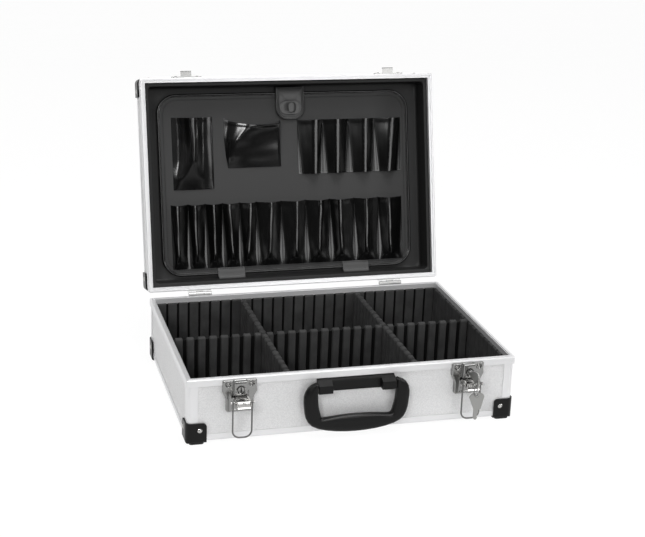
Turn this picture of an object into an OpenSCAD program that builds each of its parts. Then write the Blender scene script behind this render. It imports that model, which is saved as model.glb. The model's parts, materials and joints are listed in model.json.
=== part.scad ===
// Tool case with aluminium frames, a divided base and a tool panel in the lid.
// Sizes are millimetres and +Z is up. The origin is the centre of the floor
// frame's underside, and the feet reach below it. The handle and latches face -Y.
// The lid is drawn open, as are the two draw levers, and the bails hang.

/* [Case] */
// Width over the rims
case_w = 455; // [430:1:520]
// Depth over the rims
case_d = 318; // [300:1:360]
// Height of the base shell, from its floor frame to its rim
base_h = 87; // [86:1:120]
// Height of the lid shell, from its rim to its top
lid_h = 49.7; // [49:0.1:70]
// Gap between the two rims when the lid is shut
rim_gap = 0.3; // [0.2:0.1:0.6]
// Angle at which the lid stands open
lid_open = 104; // [95:1:108]

/* [Shell] */
// Thickness of the side, floor and top panels
panel_t = 4; // [3:0.5:4.5]
// Thickness of the lips of the frame profiles
lip_t = 0.8; // [0.6:0.1:1]
// Height of the rims and floor frame on the faces
profile_face = 9.4; // [8:0.1:11]
// Width of a corner post on each face
post_face = 15.5; // [12:0.5:20]
// Outer radius of the corner posts
post_r = 6; // [4:0.5:8]
// How far the rims stand out past the posts
rim_proud = 1.2; // [0.8:0.1:1.6]
// Length of a corner guard along each edge
guard_len = 28; // [24:1:36]
// Wall of a corner guard
guard_t = 2.2; // [1.8:0.1:3]
// Height of a foot under the guard
foot_h = 2; // [1.5:0.5:6]

/* [Interior] */
// Distance from rib to rib on the linings and dividers
rib_pitch = 16.2; // [15:0.1:18]
// Width of the slot between two ribs
slot_w = 2.7; // [2.4:0.1:3.2]
// Height of the ribs over the lining sheet
rib_t = 2.2; // [1.6:0.1:3]
// Thickness of the hard core of a divider
core_t = 2; // [1.4:0.1:2.2]
// Height of a divider's ribs over its core
divider_rib_t = 3.4; // [2:0.1:4]
// Slots from the centre line to a long divider
divider_slot = 5.5; // [4.5:1:6.5]
// Depth of the dividers' tops below the rim
divider_drop = 3.5; // [2:0.5:10]

/* [Handle] */
// Width over the handle
handle_w = 147; // [140:1:165]
// Depth of the handle from front to back
handle_t = 12; // [10:0.5:14]
// Gap between an arm of the handle and the bracket
arm_gap = 1; // [0.6:0.1:1.6]
// Radius of the handle's pivot pins
handle_pin_r = 2.5; // [2:0.1:3]

/* [Latches] */
// Distance from the side of the case to the middle of a latch
latch_side = 70; // [60:0.5:80]
// Width of a latch plate at its top
latch_w = 45.5; // [43:0.5:50]
// Width of the draw levers
lever_w = 19.6; // [19:0.1:20.4]
// Thickness of the bail wire
wire_d = 2.2; // [1.8:0.1:2.4]
// Distance between the centre lines of a bail's legs
bail_w = 25.3; // [25:0.1:26.5]
// Length of a bail from its pin to the middle of the wire
bail_len = 49.4; // [47:0.1:49.4]
// Radius of the pins that the levers and bails turn on
pin_r = 1.2; // [1:0.1:1.3]
// Radial clearance of every turning pin
running = 0.05; // [0.02:0.01:0.08]

/* [Tool panel] */
// Gap from the lid's lining to the sides of the tool panel
board_side_gap = 16; // [12:0.5:24]
// Gap from the lid's lining to the upper edge of the tool panel
board_top_gap = 10.5; // [9:0.5:14]
// Gap from the lid's lining to the lower edge of the tool panel
board_low_gap = 5.5; // [4:0.5:8]
// Radius of the tool panel's corners
board_r = 30; // [15:1:40]
// Width of one of the five narrow pockets in the lower row
narrow_w = 26.6; // [22:0.1:32]
// Thickness of the pocket leather
leather_t = 1.2; // [0.8:0.1:1.6]

/* [Hidden] */

$fn = 32;
SILVER = [0.80, 0.80, 0.81];
PANEL_GREY = [0.72, 0.72, 0.73];
BLACK = [0.10, 0.10, 0.10];
CHROME = [0.62, 0.63, 0.64];
LEATHER = [0.16, 0.16, 0.16];

// Levels of the shells
guard_floor = 2;
base_bottom = 0;
base_top = base_bottom + base_h;
lid_bottom = base_top + rim_gap;
lid_top = lid_bottom + lid_h;

// Distances in from the outer face of the rims
post_in = rim_proud;
panel_in = post_in + lip_t;
wall_in = panel_in + panel_t;
rim_depth = wall_in + 1;
post_core = 9.5;
web_t = 3.5;
core_h = lip_t + panel_t;
rim_r = 3.5;
edge_r = 2.6;
tongue_in = 3.6;
tongue_w = 2;
tongue_h = 1.2;

// Hinge line
hinge_out = 5.8;
hinge_y = case_d / 2 + hinge_out;
hinge_z = base_top;
hinge_x = 150;
hinge_w = 35;
hinge_pin_r = 1.5;
knuckle_r = 3.4;

// Interior
lining_in = wall_in;
lining_sheet = 2.2;
rib_in = lining_in + lining_sheet + rib_t;
floor_lining_t = 3;
floor_top = base_bottom + core_h + floor_lining_t;
lip_drop = 7;
lining_top = base_top - lip_drop;
divider_top = base_top - divider_drop;
divider_x = divider_slot * rib_pitch;
divider_half = core_t / 2 + divider_rib_t;
fit = 0.3;

// Handle. The grip's curves are drawn for one width and then widened.
grip_drawn_w = 147;
grip_arm_in = 54.3;
grip_more = (handle_w - grip_drawn_w) / 2;
handle_out = 9;
handle_y = -case_d / 2 - handle_out;
handle_z = base_top - 23;
handle_pin_end = grip_arm_in + grip_more + 11.7;
bracket_w = 2 * (grip_arm_in + grip_more - arm_gap);
bracket_pin = bracket_w / 2 - 9.3;

// Latches, measured up from the rim's top and out from its face
latch_x = case_w / 2 - latch_side;
dish = 3.3;
sheet = 1.2;
latch_top = -2;
latch_flare = [-19, -29];
latch_low = -46.5;
latch_low_w = 36;
rivet_x = 15.4;
rivet_z = -7.5;
rivet_r = 1.9;
cup_floor = 1.2;
lock_z = -13;
lock_r = 4.2;
housing_w = 17.9;
housing_out = 10;
housing_z = [-21.5, -1.6];
lever_out = 6.5;
lever_z = -26;
lever_len = 23.5;
lever_wall = 1.2;
over_centre = 0.4;
bail_arm = 13.5;
bail_corner_r = 9.5;
eye_r = 2.4;
bail_out = lever_out + bail_arm;
bail_z = lever_z - over_centre;
shut_out = lever_out - over_centre;
shut_z = lever_z - bail_arm;
keeper_wire_z = shut_z + bail_len;
hook_w = 16;
pin_half = bail_w / 2 + wire_d / 2 + 0.9;

// Keys
key_t = 1.8;
key_hole_in = 3.6;
key_hole_r = 2.3;
key_out = 40.4;
ring_wire = 1.3;
ring_r = 10.5;

// Tool panel in the shut lid, measured down from the inside of the top
liner_t = 1.6;
liner_wall_in = 12.5;
board_t = 3.4;
board_back = lid_top - core_h - liner_t;
board_face = board_back - board_t;
board_w = case_w - 2 * (liner_wall_in + board_side_gap);
board_front = liner_wall_in + board_top_gap - case_d / 2;
board_rear = case_d / 2 - liner_wall_in - board_low_gap;
board_h = board_rear - board_front;
board_y = (board_front + board_rear) / 2;
board_left = -board_w / 2;
loops = 4;
tall_deep = 17;
wide_deep = 15;
loop_deep = 13;
row_deep = 11;
strap_x = 8;
strap_w = 46;
strap_t = 2.2;
strap_end = board_front + 43;
strap_lift = 1.9;
button_y = board_front + 24;
button = [8, 13];
strap_root = liner_wall_in - case_d / 2 + 0.35;
strap_z = board_face - strap_lift - strap_t;

// Pockets, each as its two sides and then its mouth and foot. Those beside the
// strap stay clear of its end.
tall_box = [board_left + 22, board_left + 85, board_front + 35, board_front + 145];
wide_box = [tall_box[1] + 17, strap_x - 16, strap_end + 0.4, board_front + 114];
loop_box = [strap_x + 11, -board_left - 12, strap_end + 0.4, board_front + 127];
row_box = [board_left + 16, -board_left - 14, board_rear - 110, board_rear - 11];
tall_low = 14;
wide_low = 12;
row_low = 20;
row_narrow = 5;
row_wide = 6;
row_foot = 3;

// Helpers

// A flat rectangle with round corners
module rounded(w, d, r) {
  square([w - 2 * r, d], center = true);
  square([w, d - 2 * r], center = true);
  for (x = [-1, 1]) for (y = [-1, 1]) translate([x * (w / 2 - r), y * (d / 2 - r)]) circle(r);
}

// The case's outline, drawn in from the rims
module outline(inset, r) {
  rounded(case_w - 2 * inset, case_d - 2 * inset, r);
}

// The square corner of an outline
module sharp(inset) {
  square([case_w - 2 * inset, case_d - 2 * inset], center = true);
}

// Turns a shape drawn for a base upside down to fit the lid
module upside() {
  translate([0, 0, lid_top + base_bottom]) mirror([0, 0, 1]) children();
}

// Swings a shape drawn for the shut lid open about the hinge
module on_lid(a = lid_open) {
  translate([0, hinge_y, hinge_z]) rotate([-a, 0, 0]) translate([0, -hinge_y, -hinge_z]) children();
}

// Runs a profile once round the case, mitred at the corners. The profile's X
// points in from the face and its Y points up.
module around(inset, z) {
  for (s = [0:3]) rotate(90 * s) {
    run = s % 2 == 0 ? case_w : case_d;
    reach = (s % 2 == 0 ? case_d : case_w) / 2;
    intersection() {
      translate([-run / 2, inset - reach, z]) rotate([90, 0, 90]) linear_extrude(run) children();
      translate([0, 0, z - 60]) linear_extrude(120)
        polygon([[-run / 2, -reach], [run / 2, -reach], [run / 2 - 20, 20 - reach],
          [20 - run / 2, 20 - reach]]);
    }
  }
}

// The squares at the four corners, each running in from the rims
module corner_squares(size, out = 2) {
  for (x = [-1, 1]) for (y = [-1, 1])
    translate([x * (case_w / 2 - size / 2 + out / 2), y * (case_d / 2 - size / 2 + out / 2)])
      square(size + out, center = true);
}

// A rivet's domed head, standing on z = 0
module dome(r, h) {
  big = (r * r + h * h) / (2 * h);
  intersection() {
    cylinder(h = h, r = r);
    translate([0, 0, h - big]) sphere(big, $fn = 48);
  }
}

// A pin along X
module pin_x(r, from, to) {
  translate([from, 0, 0]) rotate([0, 90, 0]) cylinder(h = to - from, r = r);
}

// Turns a profile of (out, up) into a block along X, centred, on the front face
module front_block(w, x = 0) {
  translate([x - w / 2, -case_d / 2, base_top]) rotate([90, 0, 90]) linear_extrude(w)
    mirror([1, 0]) children();
}

// Puts a shape with X across, Y up and Z out on the front face
module on_front(x, out, up) {
  translate([x, -case_d / 2 - out, base_top + up]) rotate([90, 0, 0]) children();
}

// Shell

// Bottom profile: an outer lip, a bottom lip and a core behind the panel
module floor_profile() {
  difference() {
    union() {
      square([lip_t, profile_face]);
      square([profile_face, lip_t]);
      square([core_h, core_h]);
    }
    difference() {
      translate([-1, -1]) square(1 + edge_r);
      translate([edge_r, edge_r]) circle(edge_r);
    }
  }
}

// Rim profile, with its top at y = 0
module rim_profile() {
  difference() {
    union() {
      translate([0, -profile_face]) square([panel_in, profile_face]);
      translate([0, -web_t]) square([rim_depth, web_t]);
      translate([wall_in, -lip_drop]) square([1, lip_drop]);
    }
    difference() {
      translate([-1, -1.5]) square([2.5, 2.5]);
      translate([1.5, -1.5]) circle(1.5);
    }
  }
}

module floor_frame(z) {
  intersection() {
    around(post_in, z) floor_profile();
    translate([0, 0, z - 5]) linear_extrude(profile_face + 10) outline(post_in, post_r);
  }
}

module rim_frame(z, tongue) {
  intersection() {
    around(0, z) {
      rim_profile();
      if (tongue) translate([tongue_in, 0]) square([tongue_w, tongue_h]);
    }
    translate([0, 0, z - 30]) linear_extrude(40) outline(0, rim_r);
  }
}

// A post: a core between the panels' ends and a lip that covers them
module posts(lo, hi) {
  translate([0, 0, lo + core_h]) linear_extrude(hi - lo - core_h - web_t) intersection() {
    difference() {
      outline(panel_in, post_r - lip_t);
      sharp(wall_in);
    }
    corner_squares(post_core, 0);
  }
  translate([0, 0, lo + profile_face]) linear_extrude(hi - lo - 2 * profile_face) intersection() {
    difference() {
      outline(post_in, post_r);
      outline(panel_in, post_r - lip_t);
    }
    corner_squares(post_face, 0);
  }
}

// Side panels: front and back run in X, the others in Y
module side_panel(lo, hi, s) {
  run = (s % 2 == 0 ? case_w : case_d) - 2 * post_core;
  reach = (s % 2 == 0 ? case_d : case_w) / 2 - panel_in;
  rotate(90 * s) translate([-run / 2, -reach, lo + core_h])
    cube([run, panel_t, hi - lo - core_h - web_t]);
}

module flat_panel(z) {
  translate([0, 0, z]) linear_extrude(panel_t) sharp(wall_in);
}

// One corner guard, for the corner at -X and -Y
module guard(foot) {
  out = guard_t - post_in;
  x0 = -case_w / 2 - out;
  y0 = -case_d / 2 - out;
  z0 = base_bottom - guard_floor;
  difference() {
    intersection() {
      translate([x0, y0, z0]) linear_extrude(guard_len + 1) guard_face(8, 5);
      translate([x0, y0 + guard_len + 5, z0]) rotate([90, 0, 0]) linear_extrude(guard_len + 5)
        guard_face(3, 5);
      translate([x0 + guard_len + 5, y0, z0]) rotate([0, -90, 0]) linear_extrude(guard_len + 5)
        guard_face(3, 5);
    }
    translate([0, 0, base_bottom]) linear_extrude(guard_len * 2) outline(post_in, post_r);
  }
  if (foot) translate([x0 + 15, y0 + 15, z0 - foot_h]) linear_extrude(foot_h) rounded(19, 19, 4);
}

// A square with one round corner at the origin and one round corner opposite
module guard_face(r, free) {
  intersection() {
    union() {
      square([guard_len - free, guard_len]);
      square([guard_len, guard_len - free]);
      translate([guard_len - free, guard_len - free]) circle(free);
    }
    union() {
      translate([r, 0]) square(guard_len);
      translate([0, r]) square(guard_len);
      translate([r, r]) circle(r);
    }
  }
}

module guards(foot) {
  for (x = [0, 1]) for (y = [0, 1]) mirror([x, 0, 0]) mirror([0, y, 0]) guard(foot);
}

// Two domed rivets a corner, one on each face of the guard
module guard_rivets() {
  out = guard_t - post_in;
  for (x = [0, 1]) for (y = [0, 1]) mirror([x, 0, 0]) mirror([0, y, 0]) {
    translate([18 - case_w / 2, -case_d / 2 - out, base_bottom + 16]) rotate([90, 0, 0]) dome(3.2, 1.3);
    translate([-case_w / 2 - out, 18 - case_d / 2, base_bottom + 16]) rotate([0, -90, 0]) dome(3.2, 1.3);
  }
}

// Interior

// One upright rib seen from above, standing in +Y on y = 0
module rib(h) {
  w = rib_pitch - slot_w;
  polygon([[-w / 2, -0.6], [-w / 2, h - 0.9], [0.9 - w / 2, h], [w / 2 - 0.9, h], [w / 2, h - 0.9],
    [w / 2, -0.6]]);
}

// Ribs along X within a span, with a slot or a rib at x = 0
module ribs(from, to, h, offset) {
  w = rib_pitch - slot_w;
  first = ceil((from + w / 2) / rib_pitch - offset);
  last = floor((to - w / 2) / rib_pitch - offset);
  for (k = [first:last]) translate([(k + offset) * rib_pitch, 0]) rib(h);
}

module wall_lining() {
  high = lining_top - floor_top;
  translate([0, 0, floor_top]) linear_extrude(high) difference() {
    sharp(lining_in);
    sharp(lining_in + lining_sheet);
  }
  for (s = [0:3]) rotate(90 * s) {
    run = (s % 2 == 0 ? case_w : case_d) / 2 - rib_in - 1;
    reach = (s % 2 == 0 ? case_d : case_w) / 2 - lining_in - lining_sheet;
    translate([0, -reach, floor_top]) linear_extrude(high) ribs(-run, run, rib_t, s % 2 == 0 ? 0 : 0.5);
  }
}

module floor_lining() {
  translate([0, 0, base_bottom + core_h]) linear_extrude(floor_lining_t) sharp(wall_in);
}

// A divider along X from its core's ends, ribbed on both sides
module divider(from, to, in_from, in_to, offset) {
  translate([from, -core_t / 2, floor_top]) cube([to - from, core_t, divider_top - floor_top]);
  intersection() {
    translate([0, 0, floor_top]) linear_extrude(divider_top - floor_top) for (m = [0, 1])
      mirror([0, m]) translate([0, core_t / 2]) {
        ribs(from + in_from, to - in_to, divider_rib_t, offset);
        end_ribs(from + in_from, to - in_to, offset);
      }
    translate([from - 5, 0, floor_top]) rotate([90, 0, 90]) linear_extrude(to - from + 10) {
      high = divider_top - floor_top;
      translate([-divider_half, -1]) square([2 * divider_half, high - 1.4]);
      translate([2.4 - divider_half, 0]) square([2 * divider_half - 4.8, high]);
      for (m = [-1, 1]) translate([m * (divider_half - 2.4), high - 2.4]) circle(2.4);
    }
  }
}

// The cut ribs at a divider's two ends
module end_ribs(from, to, offset) {
  w = rib_pitch - slot_w;
  first = ceil((from + w / 2) / rib_pitch - offset);
  last = floor((to - w / 2) / rib_pitch - offset);
  low = (first + offset) * rib_pitch - w / 2 - slot_w;
  high = (last + offset) * rib_pitch + w / 2 + slot_w;
  if (low - from > 1.5) translate([from, 0]) square([low - from, divider_rib_t]);
  if (to - high > 1.5) translate([high, 0]) square([to - high, divider_rib_t]);
}

module long_divider(side) {
  end = case_d / 2 - lining_in - lining_sheet - fit;
  inset = rib_t;
  translate([side * divider_x, 0, 0]) rotate(90) divider(-end, end, inset, inset, 0.5);
}

module cross_divider(place) {
  wall = case_w / 2 - lining_in - lining_sheet - fit;
  post = divider_x - core_t / 2 - fit;
  if (place == 0) divider(-post, post, divider_rib_t, divider_rib_t, 0);
  if (place == 1) divider(divider_x + core_t / 2 + fit, wall, divider_rib_t, rib_t, 0);
  if (place == -1) divider(-wall, -divider_x - core_t / 2 - fit, rib_t, divider_rib_t, 0);
}

// Handle

// A point of a cubic curve
function bez(p, t) = pow(1 - t, 3) * p[0] + 3 * pow(1 - t, 2) * t * p[1]
  + 3 * (1 - t) * t * t * p[2] + t * t * t * p[3];

// A point of three curves run one after the other, t from 0 to 3
function run_of(c, t) = bez(c[min(floor(t), 2)], t - min(floor(t), 2));

// Widens the grip's middle for a wider handle
function widen(p, side) = [side * (p[0] + grip_more * min(1, p[0] / 45)), p[1]];

// The grip's two edges from the middle of the bar to the top of an arm
grip_outer = [[[0, -62.2], [22, -62.2], [50, -59], [62, -50]],
  [[62, -50], [72, -42], [71.5, -30], [73, -16]],
  [[73, -16], [74.6, -2], [67, 9.4], [58, 9.4]]];
grip_inner = [[[0, -37], [18, -37], [34, -38.8], [45, -40]],
  [[45, -40], [48.6, -40.4], [49, -37], [50.3, -32]],
  [[50.3, -32], [53, -22], [grip_arm_in, -16], [grip_arm_in, 8.6]]];
grip_steps = 5;
grip_sides = 16;
grip_last = 3 * grip_steps;

// The points round one section, a squarish oval between the two edges
function grip_section(i) =
  let (t = abs(i) / grip_steps, s = i < 0 ? -1 : 1,
    a = widen(run_of(grip_outer, t), s), b = widen(run_of(grip_inner, t), s),
    mid = (a + b) / 2, half = (a - b) / 2)
  [for (k = [0:grip_sides - 1]) let (w = 360 * (k + 0.5) / grip_sides,
    u = sign(cos(w)) * pow(abs(cos(w)), 0.7), v = sign(sin(w)) * pow(abs(sin(w)), 0.7))
    [mid[0] + half[0] * u, -v * handle_t / 2, mid[1] + half[1] * u]];

module grip_body() {
  n = grip_sides;
  rows = 2 * grip_last;
  points = [for (i = [-grip_last:grip_last]) each grip_section(i)];
  faces = concat([[for (k = [0:n - 1]) k]], [[for (k = [n - 1:-1:0]) rows * n + k]],
    [for (r = [0:rows - 1]) for (k = [0:n - 1]) let (m = (k + 1) % n) each [
      [r * n + k, (r + 1) * n + k, (r + 1) * n + m], [r * n + k, (r + 1) * n + m, r * n + m]]]);
  polyhedron(points, faces, convexity = 8);
}

module grip() {
  translate([0, handle_y, handle_z]) difference() {
    grip_body();
    for (s = [0, 1]) mirror([s, 0, 0]) pin_x(handle_pin_r + running, bracket_pin + 6, handle_pin_end + 0.3);
  }
}

module grip_pins() {
  for (s = [0, 1]) mirror([s, 0, 0]) translate([0, handle_y, handle_z])
    pin_x(handle_pin_r, bracket_pin, handle_pin_end);
}

// A plate with a boss at each end that carries the handle's pins
module bracket() {
  boss = 19;
  face = handle_out + 5;
  difference() {
    union() {
      front_block(bracket_w - 2 * boss) polygon([[-panel_in, -27.5], [-panel_in, -10.5], [0, -10.5],
        [3.4, -12], [4.5, -14], [4.5, -24.5], [3, -27.5]]);
      for (s = [-1, 1]) front_block(boss, s * (bracket_w / 2 - boss / 2))
        polygon([[-panel_in, -27.5], [-panel_in, -10.5], [0, -10.5], [face - 1, -16.2],
          [face, -17.4], [face, -26.3], [face - 1.2, -27.5]]);
    }
    for (s = [0, 1]) mirror([s, 0, 0]) translate([0, handle_y, handle_z])
      pin_x(handle_pin_r, bracket_pin, bracket_w / 2 + 1);
  }
}

// Latches. A latch's own X is 0 on its centre line.

// Half the plate's outline, drawn in by an inset
module plate_outline(inset) {
  c = 2;
  w = latch_w / 2 - inset;
  l = latch_low_w / 2 - inset;
  polygon([[c - w, latch_top - inset], [-w, latch_top - inset - c], [-w, latch_flare[0]],
    [-l, latch_flare[1]], [-l, latch_low + inset + c], [c - l, latch_low + inset],
    [l - c, latch_low + inset], [l, latch_low + inset + c], [l, latch_flare[1]],
    [w, latch_flare[0]], [w, latch_top - inset - c], [w - c, latch_top - inset]]);
}

// The pressed plate, with cups for its rivets and ears for the lever's pin
module plate_at(x) {
  difference() {
    union() {
      on_front(x, -panel_in, 0) linear_extrude(dish + panel_in) plate_outline(0);
    }
    difference() {
      on_front(x, -panel_in - 1, 0) linear_extrude(dish + panel_in - sheet + 1) plate_outline(sheet);
      for (s = [-1, 1]) on_front(x + s * rivet_x, -panel_in - 1, rivet_z) cylinder(h = 9, r = 4.2);
    }
    on_front(x, -panel_in - 1, -profile_face) linear_extrude(panel_in + 1) translate([-40, 0])
      square([80, 40]);
    for (s = [-1, 1]) on_front(x + s * rivet_x, cup_floor, rivet_z) cylinder(h = 9, r = 3);
    on_front(x, 0, lock_z) cylinder(h = 9, r = lock_r + 0.4);
  }
  for (s = [-1, 1]) difference() {
    front_block(1.2, x + s * (lever_w / 2 - lever_wall - 0.9)) {
      translate([dish - sheet, lever_z - 2.6]) square([lever_out - dish + sheet, 5.2]);
      translate([lever_out, lever_z]) circle(2.6);
    }
    translate([x, -case_d / 2 - lever_out, base_top + lever_z]) pin_x(pin_r, -20, 20);
  }
}

// The raised housing that the lock sits in
module housing_at(x) {
  w = housing_w / 2;
  h = housing_out;
  difference() {
    intersection() {
      front_block(40, x) polygon([[dish, housing_z[0]], [h - 1, housing_z[0] + 0.4],
        [h, housing_z[0] + 1.4], [h, housing_z[1] - 1.4], [h - 1, housing_z[1] - 0.4],
        [dish, housing_z[1]]]);
      translate([x, -case_d / 2, base_top - 40]) linear_extrude(60) mirror([0, 1])
        polygon([[-w - 0.6, dish], [-w, h - 1], [1 - w, h], [w - 1, h], [w, h - 1], [w + 0.6, dish]]);
    }
    on_front(x, 0, lock_z) cylinder(h = 20, r = lock_r + running);
  }
}

module lever_pin(x) {
  translate([x, -case_d / 2 - lever_out, base_top + lever_z])
    pin_x(pin_r, -lever_w / 2 - 0.3, lever_w / 2 + 0.3);
}

// The draw lever, drawn open: its profile's X runs out from the pin, Y up
module lever_at(x) {
  skin = 3.8;
  tip = lever_len;
  translate([x, -case_d / 2 - lever_out, base_top + lever_z]) difference() {
    union() {
      for (s = [-1, 1]) lever_block(lever_wall, s * (lever_w / 2 - lever_wall / 2)) {
        circle(2.9);
        polygon([[0, -2.9], [tip, -2.9], [tip, skin - 1.5], [tip - 1.5, skin], [3.6, skin],
          [0, 2.9]]);
      }
      lever_block(lever_w, 0) polygon([[3.6, skin], [tip - 1.5, skin], [tip, skin - 1.5], [tip, -6],
        [tip - 1.2, -6], [tip - 1.2, skin - 2], [tip - 2, skin - 1.2], [4, skin - 1.2]]);
    }
    pin_x(pin_r + running, -20, 20);
    translate([0, -bail_arm, -over_centre]) pin_x(pin_r + running, -20, 20);
  }
}

module lever_block(w, x) {
  translate([x - w / 2, 0, 0]) rotate([90, 0, 90]) linear_extrude(w) mirror([1, 0]) children();
}

module at_bail(x) {
  translate([x, -case_d / 2 - bail_out, base_top + bail_z]) children();
}

module bail_pin_at(x) {
  at_bail(x) {
    pin_x(pin_r, -pin_half, pin_half);
    for (s = [0, 1]) mirror([s, 0, 0]) pin_x(2, pin_half, pin_half + 0.8);
  }
}

// The wire bail, drawn hanging from its pin
module bail_at(x) {
  r = wire_d / 2;
  w = bail_w / 2;
  k = bail_corner_r;
  at_bail(x) {
    for (s = [0, 1]) mirror([s, 0, 0]) difference() {
      union() {
        pin_x(eye_r, w - r - 0.15, w + r + 0.15);
        translate([w, 0, k - bail_len]) cylinder(h = bail_len - k - eye_r + 0.8, r = r);
      }
      pin_x(pin_r + running, w - 3, w + 3);
    }
    for (s = [0, 1]) mirror([s, 0, 0]) translate([w - k, 0, k - bail_len]) rotate([90, 0, 0])
      rotate([0, 0, -90]) rotate_extrude(angle = 90) translate([k, 0]) circle(r);
    translate([0, 0, -bail_len]) pin_x(r, k - w, w - k);
  }
}

// The lock cylinder, with a slot for the key
module lock_at(x) {
  on_front(x, 1.5, lock_z) difference() {
    cylinder(h = housing_out + 0.4 - 1.5, r = lock_r);
    translate([0, 0, 5.9]) cube([key_t, 7.2, 10], center = true);
  }
}

// A key's outline, its end at 0 and its tip up
module key_shape() {
  difference() {
    polygon([[-5.6, 0], [5.6, 0], [8.6, 1.6], [10.3, 4.6], [10.3, 6.2], [3.5, 23.4],
      [3.5, 36.2], [1.6, 38.2], [-0.6, 38.2], [-1.6, 36.8], [-2.2, 35.4], [-1.2, 34],
      [-2.6, 32.4], [-1.4, 30.8], [-2.8, 29.2], [-3.5, 28.2], [-3.5, 24.2], [-6.2, 23.2],
      [-10.3, 6.2], [-10.3, 4.6], [-8.6, 1.6]]);
    translate([0, key_hole_in]) circle(key_hole_r);
  }
}

module lock_key(x) {
  translate([x - key_t / 2, -case_d / 2 - key_out - key_hole_in, base_top + lock_z])
    rotate([90, 0, 90]) linear_extrude(key_t) rotate(-90) key_shape();
}

module ring(x) {
  translate([x, -case_d / 2 - key_out, base_top + lock_z - ring_r]) rotate([0, 0, 45])
    rotate([90, 0, 0]) rotate_extrude() translate([ring_r, 0]) circle(ring_wire / 2);
}

module hung_key(x) {
  translate([x, -case_d / 2 - key_out + key_t / 2, base_top + lock_z - 2 * ring_r + key_hole_in])
    rotate([90, 0, 0]) linear_extrude(key_t) rotate(180) key_shape();
}

// Hinges

module at_hinges() {
  for (x = [-1, 1]) translate([x * hinge_x, hinge_y, hinge_z]) children();
}

// One leaf in the hinge's plane: a plate on the rim and an arm to its barrels
module leaf(sign, spans) {
  plate = 1.4;
  for (s = spans) difference() {
    translate([s[0], 0, 0]) rotate([90, 0, 90]) linear_extrude(s[1] - s[0]) {
      circle(knuckle_r);
      polygon([[-hinge_out, sign * 1.6], [-hinge_out, sign * knuckle_r], [0, sign * knuckle_r],
        [0, sign * 1.6]]);
    }
    pin_x(hinge_pin_r + (sign > 0 ? running : 0), -40, 40);
  }
  translate([-hinge_w / 2, 0, 0]) rotate([90, 0, 90]) linear_extrude(hinge_w)
    polygon([[-hinge_out, sign * 1.6], [-hinge_out, sign * 9.2], [plate - hinge_out, sign * 9.2],
      [plate - hinge_out, sign * 1.6]]);
}

module base_leaves() {
  third = hinge_w / 3;
  at_hinges() {
    leaf(-1, [[-hinge_w / 2, -third / 2 - 0.15], [third / 2 + 0.15, hinge_w / 2]]);
    for (x = [-1, 0, 1]) translate([x * 12, 1.4 - hinge_out, -6.4]) rotate([-90, 0, 0]) dome(1.8, 0.8);
  }
}

module lid_leaves() {
  third = hinge_w / 3;
  at_hinges() {
    leaf(1, [[-third / 2 + 0.15, third / 2 - 0.15]]);
    for (x = [-1, 0, 1]) translate([x * 12, 1.4 - hinge_out, 6.7]) rotate([-90, 0, 0]) dome(1.8, 0.8);
  }
}

// Keeper hooks on the lid's front rim, drawn for the shut lid
module keeper(x) {
  w = bail_w / 2 - bail_corner_r;
  drop = bail_corner_r - sqrt(pow(bail_corner_r, 2) - pow(hook_w / 2 - w, 2));
  shelf = keeper_wire_z - wire_d / 2 - drop - 0.3;
  front_block(hook_w, x) {
    polygon([[0, rim_gap + 1], [0, 13], [1.5, 13], [1.5, shelf], [8, shelf], [8.6, shelf + 0.6],
      [8.6, shelf + 4], [10, shelf + 4], [10, shelf - 0.4], [8.8, shelf - 1.6],
      [1.5, shelf - 1.6], [1.5, rim_gap + 1]]);
  }
  difference() {
    on_front(x, 0, 0) linear_extrude(1.5) {
      rounded_at(-22.4, 22.4, rim_gap + 1, rim_gap + 9, 2);
    }
  }
  for (s = [-1, 1]) on_front(x + s * 16, 1.5, rim_gap + 5) dome(2.4, 1.1);
}

module rounded_at(x0, x1, y0, y1, r) {
  translate([(x0 + x1) / 2, (y0 + y1) / 2]) rounded(x1 - x0, y1 - y0, r);
}

// Lid shell, drawn shut

module grooved_rim() {
  difference() {
    upside() rim_frame(base_bottom + lid_h, false);
    translate([0, 0, lid_bottom - 1]) linear_extrude(1 + tongue_h + 0.3) difference() {
      sharp(tongue_in - 0.3);
      sharp(tongue_in + tongue_w + 0.3);
    }
  }
}

module liner() {
  top = lid_top - core_h;
  low = lid_bottom + lip_drop;
  translate([0, 0, low]) linear_extrude(top - liner_t - low) difference() {
    sharp(wall_in);
    outline(liner_wall_in, 6);
  }
  translate([0, 0, top - liner_t]) linear_extrude(liner_t) sharp(wall_in);
}

// Tool panel and what is sewn to it, drawn shut: Y runs from the lid's front to
// its back and the panel's face looks down

module board() {
  translate([0, board_y, board_face]) linear_extrude(board_t)
    rounded(board_w - 5, board_h - 5, board_r - 2.5);
}

module piping() {
  w = board_w / 2 - 2.5;
  h = board_h / 2 - 2.5;
  k = board_r - 2.5;
  difference() {
    translate([0, board_y, board_back - 2.5]) {
      for (s = [-1, 1]) {
        translate([0, s * h, 0]) pin_x(2.5, k - w, w - k);
        translate([s * w, k - h, 0]) rotate([-90, 0, 0]) cylinder(h = 2 * (h - k), r = 2.5);
      }
      for (a = [0, 1]) for (b = [0, 1]) mirror([a, 0, 0]) mirror([0, b, 0])
        translate([w - k, h - k, 0]) rotate_extrude(angle = 90) translate([k, 0]) circle(2.5);
    }
    board();
  }
}

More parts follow.
